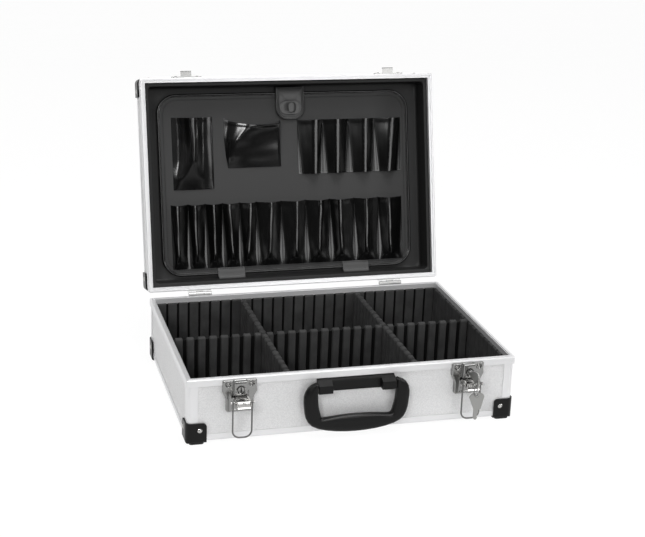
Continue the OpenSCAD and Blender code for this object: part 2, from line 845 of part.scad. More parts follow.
// An open-topped pocket: its side view is a wedge, widest at its mouth
module pocket(box, mouth, foot, low) {
  translate([box[0], 0, board_face]) rotate([90, 0, 90]) difference() {
    linear_extrude(box[1] - box[0])
      polygon([[box[2], 0], [box[2], -mouth], [box[3] - low, -foot], [box[3] - low * 0.3, -foot * 0.7],
        [box[3], -foot * 0.3], [box[3], 0]]);
    translate([0, 0, leather_t]) linear_extrude(box[1] - box[0] - 2 * leather_t)
      polygon([[box[2] - 1, 1], [box[2] - 1, leather_t - mouth], [box[2], leather_t - mouth],
        [box[3] - low - leather_t * 0.4, leather_t - foot],
        [box[3] - low * 0.3 - leather_t, leather_t - foot * 0.7],
        [box[3] - leather_t, leather_t * 0.5 - foot * 0.3], [box[3] - leather_t, 1]]);
  }
}

// A strap bowed off the panel, open at both ends
module loop(x0, x1, y0, y1, deep) {
  c = 4;
  translate([0, y1, board_face]) rotate([90, 0, 0]) linear_extrude(y1 - y0) difference() {
    polygon([[x0, 0], [x0 + 0.8, -deep + c], [x0 + c, -deep], [x1 - c, -deep], [x1 - 0.8, -deep + c],
      [x1, 0]]);
    polygon([[x0 + leather_t, 1], [x0 + leather_t + 0.8, -deep + c + 0.5],
      [x0 + c + 0.4, leather_t - deep], [x1 - c - 0.4, leather_t - deep],
      [x1 - leather_t - 0.8, -deep + c + 0.5], [x1 - leather_t, 1]]);
  }
}

module loop_row() {
  step = (loop_box[1] - loop_box[0]) / loops;
  for (i = [0:loops - 1]) loop(loop_box[0] + i * step, loop_box[0] + (i + 1) * step, loop_box[2],
    loop_box[3], loop_deep);
}

// The lower row: part 0 has its narrow pockets and part 1 its wide ones
module pocket_row(part) {
  split = row_box[0] + row_narrow * narrow_w;
  start = part == 0 ? row_box[0] : split;
  step = part == 0 ? narrow_w : (row_box[1] - split) / row_wide;
  for (i = [0:(part == 0 ? row_narrow : row_wide) - 1])
    pocket([start + i * step, start + (i + 1) * step, row_box[2], row_box[3]],
      row_deep, row_foot, row_low);
}

// Short tabs over the piping at the panel's lower edge
module tabs() {
  y = board_y + board_h / 2;
  difference() {
    for (x = [-114, 85]) translate([x, 0, 0]) rotate([90, 0, 90]) linear_extrude(42)
      polygon([[y - 10.5, board_face], [y - 10.5, board_face - 1.2], [y - 8, board_face - 1.6],
        [y - 5.5, board_back - 6.2], [y - 1, board_back - 6.2], [y + 1.2, board_back - 4],
        [y + 1.8, board_back], [y + 0.3, board_back], [y - 2.5, board_back - 2.5],
        [y - 4.5, board_back - 2.5], [y - 5.5, board_face]]);
    board();
    translate([0, y - 2.5, board_back - 2.5]) pin_x(2.5, -200, 200);
  }
}

// The strap that buttons over the panel's upper edge
module strap() {
  difference() {
    translate([strap_x, 0, strap_z]) linear_extrude(strap_t) {
      rounded_at(-strap_w / 2, strap_w / 2, strap_root + 1.1, strap_end, 18);
      translate([-strap_w / 2, strap_root + 1.1]) square([strap_w, 20]);
    }
    translate([strap_x, button_y, strap_z - 1]) linear_extrude(4) rounded(21, 18.6, 7);
  }
  translate([strap_x, strap_root + 1.1, strap_z + strap_t / 2])
    pin_x(strap_t / 2, -strap_w / 2, strap_w / 2);
}

// The eyelet in the strap: an oval ring clenched on both faces
module eyelet() {
  translate([strap_x, button_y, strap_z - 1.4]) linear_extrude(1.4) difference() {
    rounded(33, 21.5, 9);
    rounded(17, 16.6, 6);
  }
  translate([strap_x, button_y, strap_z]) linear_extrude(strap_t) difference() {
    rounded(21, 18.6, 7);
    rounded(17, 16.6, 6);
  }
}

module stud_plate() {
  translate([strap_x, button_y, board_face - 1.5]) linear_extrude(1.5) difference() {
    rounded(28, 20, 7);
    circle(3 + running);
  }
}

// The turn button, upright as drawn so that the eyelet passes over it
module button_stud() {
  top = strap_z - 1.4 - 0.6;
  translate([strap_x, button_y, 0]) {
    translate([0, 0, top]) cylinder(h = board_face - top, r = 3);
    translate([0, 0, top - 3.4]) linear_extrude(3.4) rounded(button[0], button[1], 3.4);
  }
}

// Nodes

module base_front_panel() {
  color(PANEL_GREY) side_panel(base_bottom, base_top, 0);
}

module base_right_panel() {
  color(PANEL_GREY) side_panel(base_bottom, base_top, 1);
}

module base_back_panel() {
  color(PANEL_GREY) side_panel(base_bottom, base_top, 2);
}

module base_left_panel() {
  color(PANEL_GREY) side_panel(base_bottom, base_top, 3);
}

module base_floor_panel() {
  color(PANEL_GREY) flat_panel(base_bottom + lip_t);
}

module base_rim_frame() {
  color(SILVER) rim_frame(base_top, true);
}

module base_floor_frame() {
  color(SILVER) floor_frame(base_bottom);
}

module base_corner_posts() {
  color(SILVER) posts(base_bottom, base_top);
}

module base_corner_guards() {
  color(BLACK) guards(true);
}

module base_rivets() {
  color(CHROME) {
    guard_rivets();
    for (x = [-1, 1]) for (s = [-1, 1])
      on_front(x * latch_x + s * rivet_x, cup_floor, rivet_z) dome(rivet_r, 1.5);
  }
}

module base_wall_lining() {
  color(BLACK) wall_lining();
}

module base_floor_lining() {
  color(BLACK) floor_lining();
}

module long_divider_left() {
  color(BLACK) long_divider(-1);
}

module long_divider_right() {
  color(BLACK) long_divider(1);
}

module cross_divider_left() {
  color(BLACK) cross_divider(-1);
}

module cross_divider_middle() {
  color(BLACK) cross_divider(0);
}

module cross_divider_right() {
  color(BLACK) cross_divider(1);
}

module handle_bracket() {
  color(BLACK) bracket();
}

module handle_pins() {
  color(CHROME) grip_pins();
}

module handle_grip() {
  color(BLACK) grip();
}

module latch_plate_left() {
  color(CHROME) plate_at(-latch_x);
}

module latch_plate_right() {
  color(CHROME) plate_at(latch_x);
}

module lock_housing_left() {
  color(CHROME) housing_at(-latch_x);
}

module lock_housing_right() {
  color(CHROME) housing_at(latch_x);
}

module lever_pins() {
  color(CHROME) for (x = [-1, 1]) lever_pin(x * latch_x);
}

module draw_lever_left() {
  color(CHROME) lever_at(-latch_x);
}

module draw_lever_right() {
  color(CHROME) lever_at(latch_x);
}

module bail_pin_left() {
  color(CHROME) bail_pin_at(-latch_x);
}

module bail_pin_right() {
  color(CHROME) bail_pin_at(latch_x);
}

module bail_left() {
  color(CHROME) bail_at(-latch_x);
}

module bail_right() {
  color(CHROME) bail_at(latch_x);
}

module lock_cylinder_left() {
  color(CHROME) lock_at(-latch_x);
}

module lock_cylinder_right() {
  color(CHROME) lock_at(latch_x);
}

module key_in_lock() {
  color(CHROME) lock_key(latch_x);
}

module key_ring() {
  color(CHROME) ring(latch_x);
}

module spare_key() {
  color(CHROME) hung_key(latch_x);
}

module hinge_base_leaves() {
  color(CHROME) base_leaves();
}

module hinge_lid_leaves() {
  color(CHROME) on_lid() lid_leaves();
}

module hinge_pins() {
  color(CHROME) at_hinges() pin_x(hinge_pin_r, -hinge_w / 2, hinge_w / 2);
}

module lid_side_panels() {
  color(PANEL_GREY) on_lid() for (s = [0:3]) upside()
    side_panel(base_bottom, base_bottom + lid_h, s);
}

module lid_top_panel() {
  color(PANEL_GREY) on_lid() upside() flat_panel(base_bottom + lip_t);
}

module lid_rim_frame() {
  color(SILVER) on_lid() grooved_rim();
}

module lid_edge_frame() {
  color(SILVER) on_lid() upside() floor_frame(base_bottom);
}

module lid_corner_posts() {
  color(SILVER) on_lid() upside() posts(base_bottom, base_bottom + lid_h);
}

module lid_corner_guards() {
  color(BLACK) on_lid() upside() guards(false);
}

module lid_rivets() {
  color(CHROME) on_lid() {
    upside() guard_rivets();
  }
}

module keepers() {
  color(CHROME) on_lid() for (x = [-1, 1]) keeper(x * latch_x);
}

module lid_lining() {
  color(BLACK) on_lid() liner();
}

module tool_panel() {
  color(LEATHER) on_lid() difference() {
    board();
    translate([strap_x, button_y, 0]) cylinder(h = 2 * lid_top, r = 2);
  }
}

module tall_pocket() {
  color(LEATHER) on_lid() pocket(tall_box, tall_deep, tall_deep - 4, tall_low);
}

module wide_pocket() {
  color(LEATHER) on_lid() pocket(wide_box, wide_deep, wide_deep - 4, wide_low);
}

module tool_loops() {
  color(LEATHER) on_lid() loop_row();
}

module pocket_row_left() {
  color(LEATHER) on_lid() pocket_row(0);
}

module pocket_row_right() {
  color(LEATHER) on_lid() pocket_row(1);
}

module panel_piping() {
  color(LEATHER) on_lid() piping();
}

module panel_tabs() {
  color(LEATHER) on_lid() tabs();
}

module panel_strap() {
  color(LEATHER) on_lid() strap();
}

module strap_eyelet() {
  color(CHROME) on_lid() eyelet();
}

module button_plate() {
  color(CHROME) on_lid() stud_plate();
}

module turn_button() {
  color(CHROME) on_lid() button_stud();
}

base_front_panel();
base_right_panel();
base_back_panel();
base_left_panel();
base_floor_panel();
base_rim_frame();
base_floor_frame();
base_corner_posts();
base_corner_guards();
base_rivets();
base_wall_lining();
base_floor_lining();
long_divider_left();
long_divider_right();
cross_divider_left();
cross_divider_middle();
cross_divider_right();
handle_bracket();
handle_pins();
handle_grip();
latch_plate_left();
latch_plate_right();
lock_housing_left();
lock_housing_right();
lever_pins();
draw_lever_left();
draw_lever_right();
bail_pin_left();
bail_pin_right();
bail_left();
bail_right();
lock_cylinder_left();
lock_cylinder_right();
key_in_lock();
key_ring();
spare_key();
hinge_base_leaves();
hinge_lid_leaves();
hinge_pins();
lid_side_panels();
lid_top_panel();
lid_rim_frame();
lid_edge_frame();
lid_corner_posts();
lid_corner_guards();
lid_rivets();
keepers();
lid_lining();
tool_panel();
tall_pocket();
wide_pocket();
tool_loops();
pocket_row_left();
pocket_row_right();
panel_piping();
panel_tabs();
panel_strap();
strap_eyelet();
button_plate();
turn_button();
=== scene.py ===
# %% [markdown]
# # An open tool case
#
# The case has a base and a lid of sheet-covered board held in aluminium
# frames, black corner guards, a swing handle, two draw latches and a lining
# of ribbed foam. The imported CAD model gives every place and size, in metres.
# This script keeps the hard nodes that already have the right shape, builds
# finer surfaces for the rest, and gives each one a material.

import json
import math

import bmesh
import bpy
import numpy as np
from mathutils import Matrix, Vector


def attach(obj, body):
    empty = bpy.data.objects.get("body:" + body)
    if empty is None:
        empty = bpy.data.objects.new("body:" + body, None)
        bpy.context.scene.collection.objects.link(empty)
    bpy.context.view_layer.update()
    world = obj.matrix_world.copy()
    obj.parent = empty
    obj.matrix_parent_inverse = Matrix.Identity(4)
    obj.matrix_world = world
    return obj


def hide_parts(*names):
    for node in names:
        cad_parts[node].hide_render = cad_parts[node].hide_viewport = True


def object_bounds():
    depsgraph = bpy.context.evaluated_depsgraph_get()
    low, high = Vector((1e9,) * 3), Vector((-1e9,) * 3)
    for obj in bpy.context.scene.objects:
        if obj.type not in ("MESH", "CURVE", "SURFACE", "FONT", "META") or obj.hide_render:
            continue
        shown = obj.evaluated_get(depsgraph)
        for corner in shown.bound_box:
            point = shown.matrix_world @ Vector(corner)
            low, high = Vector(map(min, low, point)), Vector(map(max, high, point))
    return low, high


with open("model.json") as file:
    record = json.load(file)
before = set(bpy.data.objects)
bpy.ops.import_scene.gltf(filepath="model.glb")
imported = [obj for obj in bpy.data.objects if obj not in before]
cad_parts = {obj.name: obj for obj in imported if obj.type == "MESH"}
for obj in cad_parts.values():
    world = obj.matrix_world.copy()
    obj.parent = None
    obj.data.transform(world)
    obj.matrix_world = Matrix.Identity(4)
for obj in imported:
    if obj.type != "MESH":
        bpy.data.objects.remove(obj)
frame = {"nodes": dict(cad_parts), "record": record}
nodes = frame["nodes"]
cad_box = [list(map(float, v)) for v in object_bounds()]
print("CAD box", cad_box)
MM = 0.001

# %% [markdown]
# ## Camera
#
# The camera stands where the photograph was taken, which was worked out from
# the corners of the two rims and the lid. It looks down at the case from the
# left of the front face, and is turned by two degrees about its own axis.

# %% Camera
AZIMUTH, ELEVATION, ROLL = map(math.radians, (-15.73, 18.66, 2.01))
TARGET = Vector((-6.48, 0.0, 174.62)) * MM
DISTANCE = 1.9888
FOCAL_PIXELS, PHOTO_WIDTH, SENSOR_MM = 1414.1, 645, 36.0


def put(name, data):
    """Links a new object with this data to the scene."""
    thing = bpy.data.objects.new(name, data)
    bpy.context.scene.collection.objects.link(thing)
    return thing


# Axes of a camera that looks along +Y at azimuth 0: the way back from the target,
# its right and its up, the last two then turned about the first by the roll.
back = Vector((math.sin(AZIMUTH) * math.cos(ELEVATION),
               -math.cos(AZIMUTH) * math.cos(ELEVATION), math.sin(ELEVATION)))
level = Vector((math.cos(AZIMUTH), math.sin(AZIMUTH), 0.0))
upright = back.cross(level)
right = level * math.cos(ROLL) + upright * math.sin(ROLL)
up = upright * math.cos(ROLL) - level * math.sin(ROLL)
camera_data = bpy.data.cameras.new("camera")
camera_data.sensor_width = SENSOR_MM
camera_data.lens = FOCAL_PIXELS / PHOTO_WIDTH * SENSOR_MM
camera_data.clip_start, camera_data.clip_end = 0.05, 40.0
camera = put("camera", camera_data)
turn = Matrix((right, up, back)).transposed().to_4x4()
camera.matrix_world = Matrix.Translation(TARGET + back * DISTANCE) @ turn
bpy.context.scene.camera = camera
print("camera at", [round(v, 3) for v in camera.location])

# %% [markdown]
# ## Materials
#
# Each finish is a small node tree that starts from the real material. Colours
# are written as sRGB hex values, as read off a screen, and one function turns
# them into the linear values that the shaders work in.

# %% Colour and node helpers
def linear(hex_code):
    """sRGB hex to linear RGBA: each channel is divided by 12.92 below 0.04045,
    and above it is ((c + 0.055) / 1.055) to the power 2.4."""
    c = np.array([int(hex_code[i:i + 2], 16) / 255 for i in (0, 2, 4)])
    low, high = c / 12.92, ((c + 0.055) / 1.055) ** 2.4
    return (*np.where(c <= 0.04045, low, high), 1.0)


def add(tree, kind, inputs=None, **settings):
    """Adds a node, sets its fields, and for each input sets a value or links
    another node's output, given as (node, output name)."""
    node = tree.nodes.new(kind)
    for name, value in settings.items():
        setattr(node, name, value)
    for name, value in (inputs or {}).items():
        if isinstance(value, tuple) and len(value) == 2 and isinstance(value[0], bpy.types.Node):
            tree.links.new(value[0].outputs[value[1]], node.inputs[name])
        else:
            node.inputs[name].default_value = value
    return node


def start_material(name, colour, roughness, metallic=0.0, specular=0.5):
    """A named material with one Principled shader and its output."""
    material = bpy.data.materials.new(name)
    material.use_nodes = True
    tree = material.node_tree
    tree.nodes.clear()
    shader = add(tree, "ShaderNodeBsdfPrincipled", {
        "Base Color": linear(colour), "Roughness": roughness, "Metallic": metallic,
        "Specular IOR Level": specular})
    add(tree, "ShaderNodeOutputMaterial", {"Surface": (shader, "BSDF")})
    print("material", name)
    return material, tree, shader


def place(tree, scale=(1, 1, 1)):
    """Output of a Mapping node over Object coordinates, which are in metres."""
    where = add(tree, "ShaderNodeTexCoord")
    return add(tree, "ShaderNodeMapping", {"Vector": (where, "Object"), "Scale": scale}), "Vector"


def noise(tree, where, scale, detail):
    """Output of a noise texture over a place."""
    return add(tree, "ShaderNodeTexNoise", {"Vector": where, "Scale": scale, "Detail": detail}), "Fac"


def calc(tree, operation, *values):
    """Output of a Math node over one or two values."""
    return add(tree, "ShaderNodeMath", dict(enumerate(values)), operation=operation), 0


def remap(tree, value, low, high, to_low=0.0, to_high=1.0):
    """Output of a Map Range node: low to high becomes to_low to to_high."""
    return add(tree, "ShaderNodeMapRange", {
        "Value": value, "From Min": low, "From Max": high, "To Min": to_low, "To Max": to_high}), "Result"


def bump(tree, shader, height, strength, depth_mm):
    """Feeds a height output into the shader's normal."""
    node = add(tree, "ShaderNodeBump", {"Height": height, "Strength": strength, "Distance": depth_mm * MM})
    tree.links.new(node.outputs["Normal"], shader.inputs["Normal"])


def tint(tree, shader, value, stops):
    """Colours the shader by a ramp over a value, with two (place, hex) stops."""
    node = add(tree, "ShaderNodeValToRGB", {"Fac": value})
    for element, (at, colour) in zip(node.color_ramp.elements, stops):
        element.position = at
        element.color = linear(colour)
    tree.links.new(node.outputs["Color"], shader.inputs["Base Color"])


print("mid grey in linear light", round(linear("808080")[0], 3))

# %% [markdown]
# ** Embossed aluminium sheet.** The panels are thin aluminium sheet rolled with
# a fine pattern of raised dots, and the light catches each dot, so the panel
# looks pale and a little grainy. The dots are 1.2 mm apart. Two waves that cross
# aslant are multiplied, and the product peaks at each dot. The peaks make a bump,
# and they are also painted paler, as a painted highlight on each dot.

# %% Embossed sheet
DOT_PITCH = 1.2143
sheet_metal, tree, shader = start_material("embossed aluminium sheet", "D9D9DA", 0.45, 0.35)
where = place(tree)
axes = add(tree, "ShaderNodeSeparateXYZ", {"Vector": where})
# The waves run over height and the sum of X and Y, so they cover front, side
# and top panels alike.
level = calc(tree, "ADD", (axes, "X"), (axes, "Y"))
waves = []
for slant in ("ADD", "SUBTRACT"):
    angle = calc(tree, "MULTIPLY", calc(tree, slant, level, (axes, "Z")), math.pi / (DOT_PITCH * MM))
    waves.append(calc(tree, "SINE", angle))
raised = remap(tree, calc(tree, "MULTIPLY", *waves), -0.1, 0.9)
bump(tree, shader, raised, 0.9, 0.35)
# The dots' peaks are painted paler as a painted highlight, and noise adds a random mottle of tone.
lit_dots_and_mottle = calc(tree, "ADD", raised, noise(tree, where, 800.0, 1.0))
tint(tree, shader, lit_dots_and_mottle, [(0.2, "C0C0C1"), (1.0, "E6E6E6")])

# %% [markdown]
# **Anodised aluminium profile.** The frames and posts are extruded aluminium
# with a satin anodised skin: brighter than the sheet, smooth, with very faint
# level lines, from noise that is twenty times finer in height than in length.

# %% Anodised profile
frame_metal, tree, shader = start_material("satin anodised aluminium", "DADADB", 0.36, 0.55)
bump(tree, shader, noise(tree, place(tree, (3, 3, 60)), 30.0, 4.0), 0.08, 0.1)

# %% [markdown]
# **Moulded black plastic.** Guards, bracket and grip are injection-moulded
# and lightly sparked, so they show a soft highlight with a fine grain of about
# half a millimetre.

# %% Moulded plastic
plastic, tree, shader = start_material("moulded black plastic", "080808", 0.34, specular=0.2)
bump(tree, shader, noise(tree, place(tree), 1600.0, 2.0), 0.25, 0.15)
# The feet's moulded rubber, and the grip's polished bead.
rubber = start_material("black rubber", "0B0B0B", 0.6)[0]
polished_plastic = start_material("polished black plastic", "141414", 0.16)[0]

# %% [markdown]
# **Ribbed foam.** The lining and dividers are dense closed-cell foam with a
# matt skin: near black, with a dusty bloom that shows as slow changes of tone.

# %% Lining foam
# The middle of a groove is painted near black, as painted shade where the groove's recess takes no light.
groove_shade_foam = start_material("black foam painted with groove shade", "050505", 0.9, specular=0.15)[0]
foam, tree, shader = start_material("black lining foam", "242424", 0.78, specular=0.35)
where = place(tree)
tint(tree, shader, noise(tree, where, 45.0, 3.0), [(0.3, "272727"), (0.7, "363636")])
bump(tree, shader, noise(tree, where, 1400.0, 2.0), 0.3, 0.1)

# %% [markdown]
# **Leathercloth.** The tool panel is covered with matt grained leathercloth,
# dark grey. Its pockets, straps and piping are a glossier black cloth, whose
# creases throw long highlights. All have a pebble grain of about 0.8 mm.

# %% Leathercloths
def leathercloth(name, colour, roughness, grain_mm, strength):
    """Grained cloth: Voronoi cells of the grain's size, rounded, as a bump."""
    material, tree, shader = start_material(name, colour, roughness)
    pebble = add(tree, "ShaderNodeTexVoronoi", {"Vector": place(tree), "Scale": 1 / (grain_mm * MM)},
                 feature="SMOOTH_F1")
    bump(tree, shader, (pebble, "Distance"), strength, 0.2)
    return material


board_cloth = leathercloth("matt grey leathercloth", "333333", 0.72, 0.9, 0.25)
pocket_cloth = leathercloth("gloss black leathercloth", "050505", 0.21, 0.7, 0.05)
strap_cloth = leathercloth("black strap leather", "171717", 0.34, 0.8, 0.15)
tab_cloth = leathercloth("matt tab leathercloth", "444444", 0.6, 0.8, 0.3)
liner_cloth = leathercloth("black lining leathercloth", "0B0B0B", 0.6, 0.8, 0.3)

# %% [markdown]
# **Nickel plate and steel.** The levers are bright nickel plate, which mirrors
# the room. Latch plates, locks and keepers are pressed steel under a satin
# nickel. Keys, hinges and wire are duller and finely scratched.

# %% Plated metals
def plated(name, colour, roughness, scratch):
    """Metal whose roughness varies from 0.8 of its value to 1 + scratch of it,
    by noise that is eight times finer in height, so that it lies in streaks."""
    material, tree, shader = start_material(name, colour, roughness, 1.0)
    streaks = noise(tree, place(tree, (1, 1, 8)), 400.0, 3.0)
    spread, result = remap(tree, streaks, 0.0, 1.0, roughness * 0.8, roughness * (1 + scratch))
    tree.links.new(spread.outputs[result], shader.inputs["Roughness"])
    return material


nickel = plated("bright nickel plate", "B2B1AF", 0.12, 0.3)
pressed_steel = plated("satin nickel on pressed steel", "8F8F8E", 0.2, 0.1)
key_steel = plated("nickel plated brass key", "9C9C9A", 0.38, 0.2)
knob_metal = plated("grey plated zinc knob", "5A5A5A", 0.5, 0.2)
wire_steel = plated("bright steel wire", "6E6E6D", 0.3, 0.4)
steel = plated("zinc plated steel", "B4B4B3", 0.28, 0.6)
# The seams' thread, and the lacquered plates of the button and the eyelet.
thread = start_material("black sewing thread", "060606", 0.7)[0]
dull_metal = start_material("grey lacquered zinc", "4E4E4E", 0.45, 0.3)[0]

# %% [markdown]
# ## Which node gets which finish
#
# Every node gets the finish of its slot, and some get one of their own.

# %% Paint the nodes
FINISH = {
    "panel_sheet": sheet_metal, "frame_metal": frame_metal, "black_plastic": plastic,
    "lining_foam": foam, "nickel": nickel, "steel": steel, "board_cover": board_cloth,
    "pocket_leather": pocket_cloth, "tab_leather": tab_cloth,
}
slot_of = {part["node"]: part["material_slot"] for part in frame["record"]["subparts"]}


def paint(thing, material):
    """Puts one material on every face of a mesh object."""
    thing.data.materials.clear()
    thing.data.materials.append(material)


OWN_FINISH = {
    "lid_lining": liner_cloth, "spare_key": key_steel, "key_in_lock": key_steel, "key_ring": wire_steel,
    "handle_pins": wire_steel, "turn_button": knob_metal, "button_plate": dull_metal,
    "lock_cylinder_left": pressed_steel, "lock_cylinder_right": pressed_steel, "keepers": pressed_steel,
}
for name, thing in nodes.items():
    paint(thing, OWN_FINISH.get(name, FINISH[slot_of[name]]))
print(len(nodes), "nodes painted")

# %% [markdown]
# ## Surfaces from arrays
#
# The finer pieces are drawn in millimetres, in the CAD model's frame. What is in
# the lid is drawn with the lid shut, when it is square to the axes, and then
# turned about the hinge line by 104 degrees.

# %% The lid's turn, grids and tubes
LID_TURN = math.radians(104)
HINGE_Y, HINGE_Z = 164.8, 87.0
HALF_W, HALF_D = 227.5, 159.0
HANDS = (("left", -1), ("right", 1))
# The way off the tool panel while the lid is shut.
TO_VIEWER = np.array([0.0, 0.0, -1.0])


def opened(points):
    """Turns points of the shut lid about the hinge line: y and z from the line
    become y cos + z sin and z cos - y sin."""
    y, z = points[..., 1] - HINGE_Y, points[..., 2] - HINGE_Z
    c, s = math.cos(LID_TURN), math.sin(LID_TURN)
    return np.stack([points[..., 0], HINGE_Y + y * c + z * s, HINGE_Z - y * s + z * c], -1)


def grid(points, wrap_rows=False, wrap_columns=False):
    """Points (rows x columns x 3) as vertices and quads; either way can wrap."""
    rows, columns = points.shape[:2]
    i = np.arange(rows if wrap_rows else rows - 1)[:, None]
    j = np.arange(columns if wrap_columns else columns - 1)[None, :]
    down, along = (i + 1) % rows, (j + 1) % columns
    quads = np.stack([i * columns + j, down * columns + j, down * columns + along, i * columns + along], -1)
    return points.reshape(-1, 3), quads.reshape(-1, 4).tolist()


def tube(loops):
    """A closed skin through a row of loops, with one flat face at either end."""
    verts, faces = grid(loops, wrap_columns=True)
    count = loops.shape[1]
    return verts, faces + [list(range(count)), list(range(len(verts) - count, len(verts)))]


def merged(shapes):
    """Several shapes as one: each one's faces count on from the last vertex."""
    verts, faces, base = [], [], 0
    for points, sides in shapes:
        verts.append(points)
        faces += [[k + base for k in side] for side in sides]
        base += len(points)
    return np.concatenate(verts), faces


def moved(shape, turn):
    """The same faces on points that a function has moved."""
    return turn(shape[0]), shape[1]


print("the shut lid's front edge opens to", opened(np.array([0.0, -HALF_D, HINGE_Z])).round(1))

# %% Outlines, plates and sweeps
def rounded_rect(half_w, half_d, r, steps=8, centre=(0.0, 0.0)):
    """Outline of a rectangle with round corners, counterclockwise, as (n, 2)."""
    a = np.linspace(0, math.pi / 2, steps)[None, :] + np.arange(4)[:, None] * math.pi / 2
    x = np.array([1, -1, -1, 1])[:, None] * (half_w - r) + r * np.cos(a)
    y = np.array([1, 1, -1, -1])[:, None] * (half_d - r) + r * np.sin(a)
    return np.stack([x.ravel() + centre[0], y.ravel() + centre[1]], 1)


def at_z(outline, z):
    """A flat outline (n, 2) as points at one height."""
    return np.column_stack([outline, np.full(len(outline), z)])


def inset(outline, by):
    """Moves a counterclockwise outline inwards along its corners' normals."""
    normals = (np.roll(outline, -1, 0) - outline)[:, ::-1] * [1, -1]
    normals /= np.linalg.norm(normals, axis=1, keepdims=True) + 1e-12
    mean = normals + np.roll(normals, 1, 0)
    return outline - by * 2 * mean / np.maximum((mean ** 2).sum(1, keepdims=True), 0.6)


def slab(outline, low, high, r):
    """A plate with this outline from low to high, its edges rounded by r: each
    level is the outline inset by r (1 - sin a), for a from 0 to 90 degrees."""
    a = np.linspace(0, math.pi / 2, 4)
    levels = np.concatenate([low + r * (1 - np.cos(a)), high - r * (1 - np.cos(a[::-1]))])
    insets = np.concatenate([r * (1 - np.sin(a)), r * (1 - np.sin(a[::-1]))])
    return tube(np.array([at_z(inset(outline, by), z) for by, z in zip(insets, levels)]))


def along(path, section, side, closed=False):
    """Sweeps a section (k x 2: along side, and across it) down a flat path whose
    plane has the normal side. The second direction is side cross the path."""
    tangent = np.roll(path, -1, 0) - np.roll(path, 1, 0) if closed else np.gradient(path, axis=0)
    tangent /= np.linalg.norm(tangent, axis=1, keepdims=True)
    side = np.asarray(side, float)
    across = np.cross(side, tangent)
    loops = path[:, None] + section[None, :, :1] * side + section[None, :, 1:] * across[:, None]
    return grid(loops, True, True) if closed else tube(loops)


def ring_of(r, count):
    """A round section."""
    a = np.arange(count) / count * 2 * math.pi
    return np.stack([r * np.cos(a), r * np.sin(a)], 1)


print("a rounded plate has", len(slab(rounded_rect(9, 9, 2), 0, 3, 1)[1]), "faces")

# %% Pieces and stitches
THREAD_R = 0.5
THREAD = ring_of(THREAD_R, 5)


def piece(name, shape, material, body, stands_for=(), sharp=38):
    """An object from vertices in millimetres and faces, which are turned to face
    outwards. It rides a body, and stands for CAD nodes where they are named."""
    mesh = bpy.data.meshes.new(name)
    mesh.from_pydata((shape[0] * MM).tolist(), [], shape[1])
    work = bmesh.new()
    work.from_mesh(mesh)
    bmesh.ops.remove_doubles(work, verts=work.verts, dist=1e-7)
    bmesh.ops.recalc_face_normals(work, faces=work.faces)
    work.to_mesh(mesh)
    work.free()
    mesh.shade_smooth()
    mesh.set_sharp_from_angle(angle=math.radians(sharp))
    thing = put(name, mesh)
    paint(thing, material)
    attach(thing, body)
    if stands_for:
        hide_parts(*stands_for)
    return thing


def stitches(points, ahead, length):
    """Raised stitches as capsules of four rings of five points, given the middle
    and the direction of each as (n, 3). They stand up towards the viewer."""
    ahead = ahead / np.linalg.norm(ahead, axis=1, keepdims=True)
    axes = np.stack([ahead, np.cross(TO_VIEWER, ahead), np.broadcast_to(TO_VIEWER, ahead.shape)], 1)
    rings = [(-0.5, 0.35, -0.25), (-0.34, 1.0, 0.2), (0.34, 1.0, 0.2), (0.5, 0.35, -0.25)]
    capsule = np.array([np.column_stack([np.full(5, at * length), size * THREAD + [0, low * THREAD_R]])
                        for at, size, low in rings])
    return merged([tube(spot + capsule @ turn) for spot, turn in zip(points, axes)])


def spaced(path, pitch, closed=False):
    """Middles and directions at equal steps along a path of points."""
    whole = np.concatenate([path, path[:1]]) if closed else path
    run = np.concatenate([[0], np.cumsum(np.linalg.norm(np.diff(whole, axis=0), axis=1))])
    count = max(int(run[-1] / pitch), 1)
    at = (np.arange(count) + 0.5) * run[-1] / count

    def spot(at):
        return np.stack([np.interp(at, run, whole[:, k]) for k in range(3)], 1)
    return spot(at), spot(at + 0.4) - spot(at - 0.4)


print("a stitch has", len(stitches(np.zeros((1, 3)), np.eye(3)[:1], 2.3)[0]), "points")

# %% [markdown]
# ## Ribbed lining of the base
#
# The walls are lined with moulded foam that has upright ribs 16.2 mm apart, with
# soft shoulders and narrow grooves. Dividers of the same foam, ribbed on both
# faces over a stiff core, push down into the grooves. Each strip is one skin: a
# closed section carried along the wall, whose depth falls in every groove. That
# gives round rib tops and notches in the upper edge, which a cut block lacks.

# %% Ribs and grooves
PITCH = 16.2
SHEET, RIB = 2.2, 2.2
FLOOR_TOP, LINING_TOP, DIVIDER_TOP = 7.8, 80.0, 83.5
WALL_IN = 6.0
# A wall strip has no rib on its last bit, its grooves are sunk into its sheet
# and notch its top, and the ribs' round shoulder leaves a narrow flat.
PLAIN_END, RUN_OUT, SUNK, SHOULDER, FLAT = 2.6, 0.4, 0.9, 2.0, 0.6
# Half the width of a groove and of its painted shade, on the walls and on the
# dividers, and how far a divider's top dips at a groove.
WALL_GROOVE, WALL_SHADE_HALF = 1.5, 1.35
DIVIDER_GROOVE, DIVIDER_SHADE_HALF, DIP = 2.9, 2.5, 3.5


def stations(low, high, shift, marks=()):
    """Places along a strip: close together at each groove, with a groove at
    every (whole number + shift) times the pitch."""
    side = np.array([0.5, 1, 1.2, 1.4, 1.6, 1.8, 2.1, 2.4, 2.7, 3.0, 3.3, 3.7, 5])
    near = np.concatenate([[-PITCH / 2, 0], -side, side])
    k = np.arange(math.floor(low / PITCH) - 1, math.ceil(high / PITCH) + 2)
    places = (((k + shift) * PITCH)[:, None] + near[None]).ravel()
    return np.unique(np.clip(np.concatenate([places, marks, [low, high]]), low, high).round(3))


def off_groove(s, shift):
    """Distance in mm from the nearest groove's middle."""
    return np.abs((s / PITCH - shift + 0.5) % 1 - 0.5) * PITCH


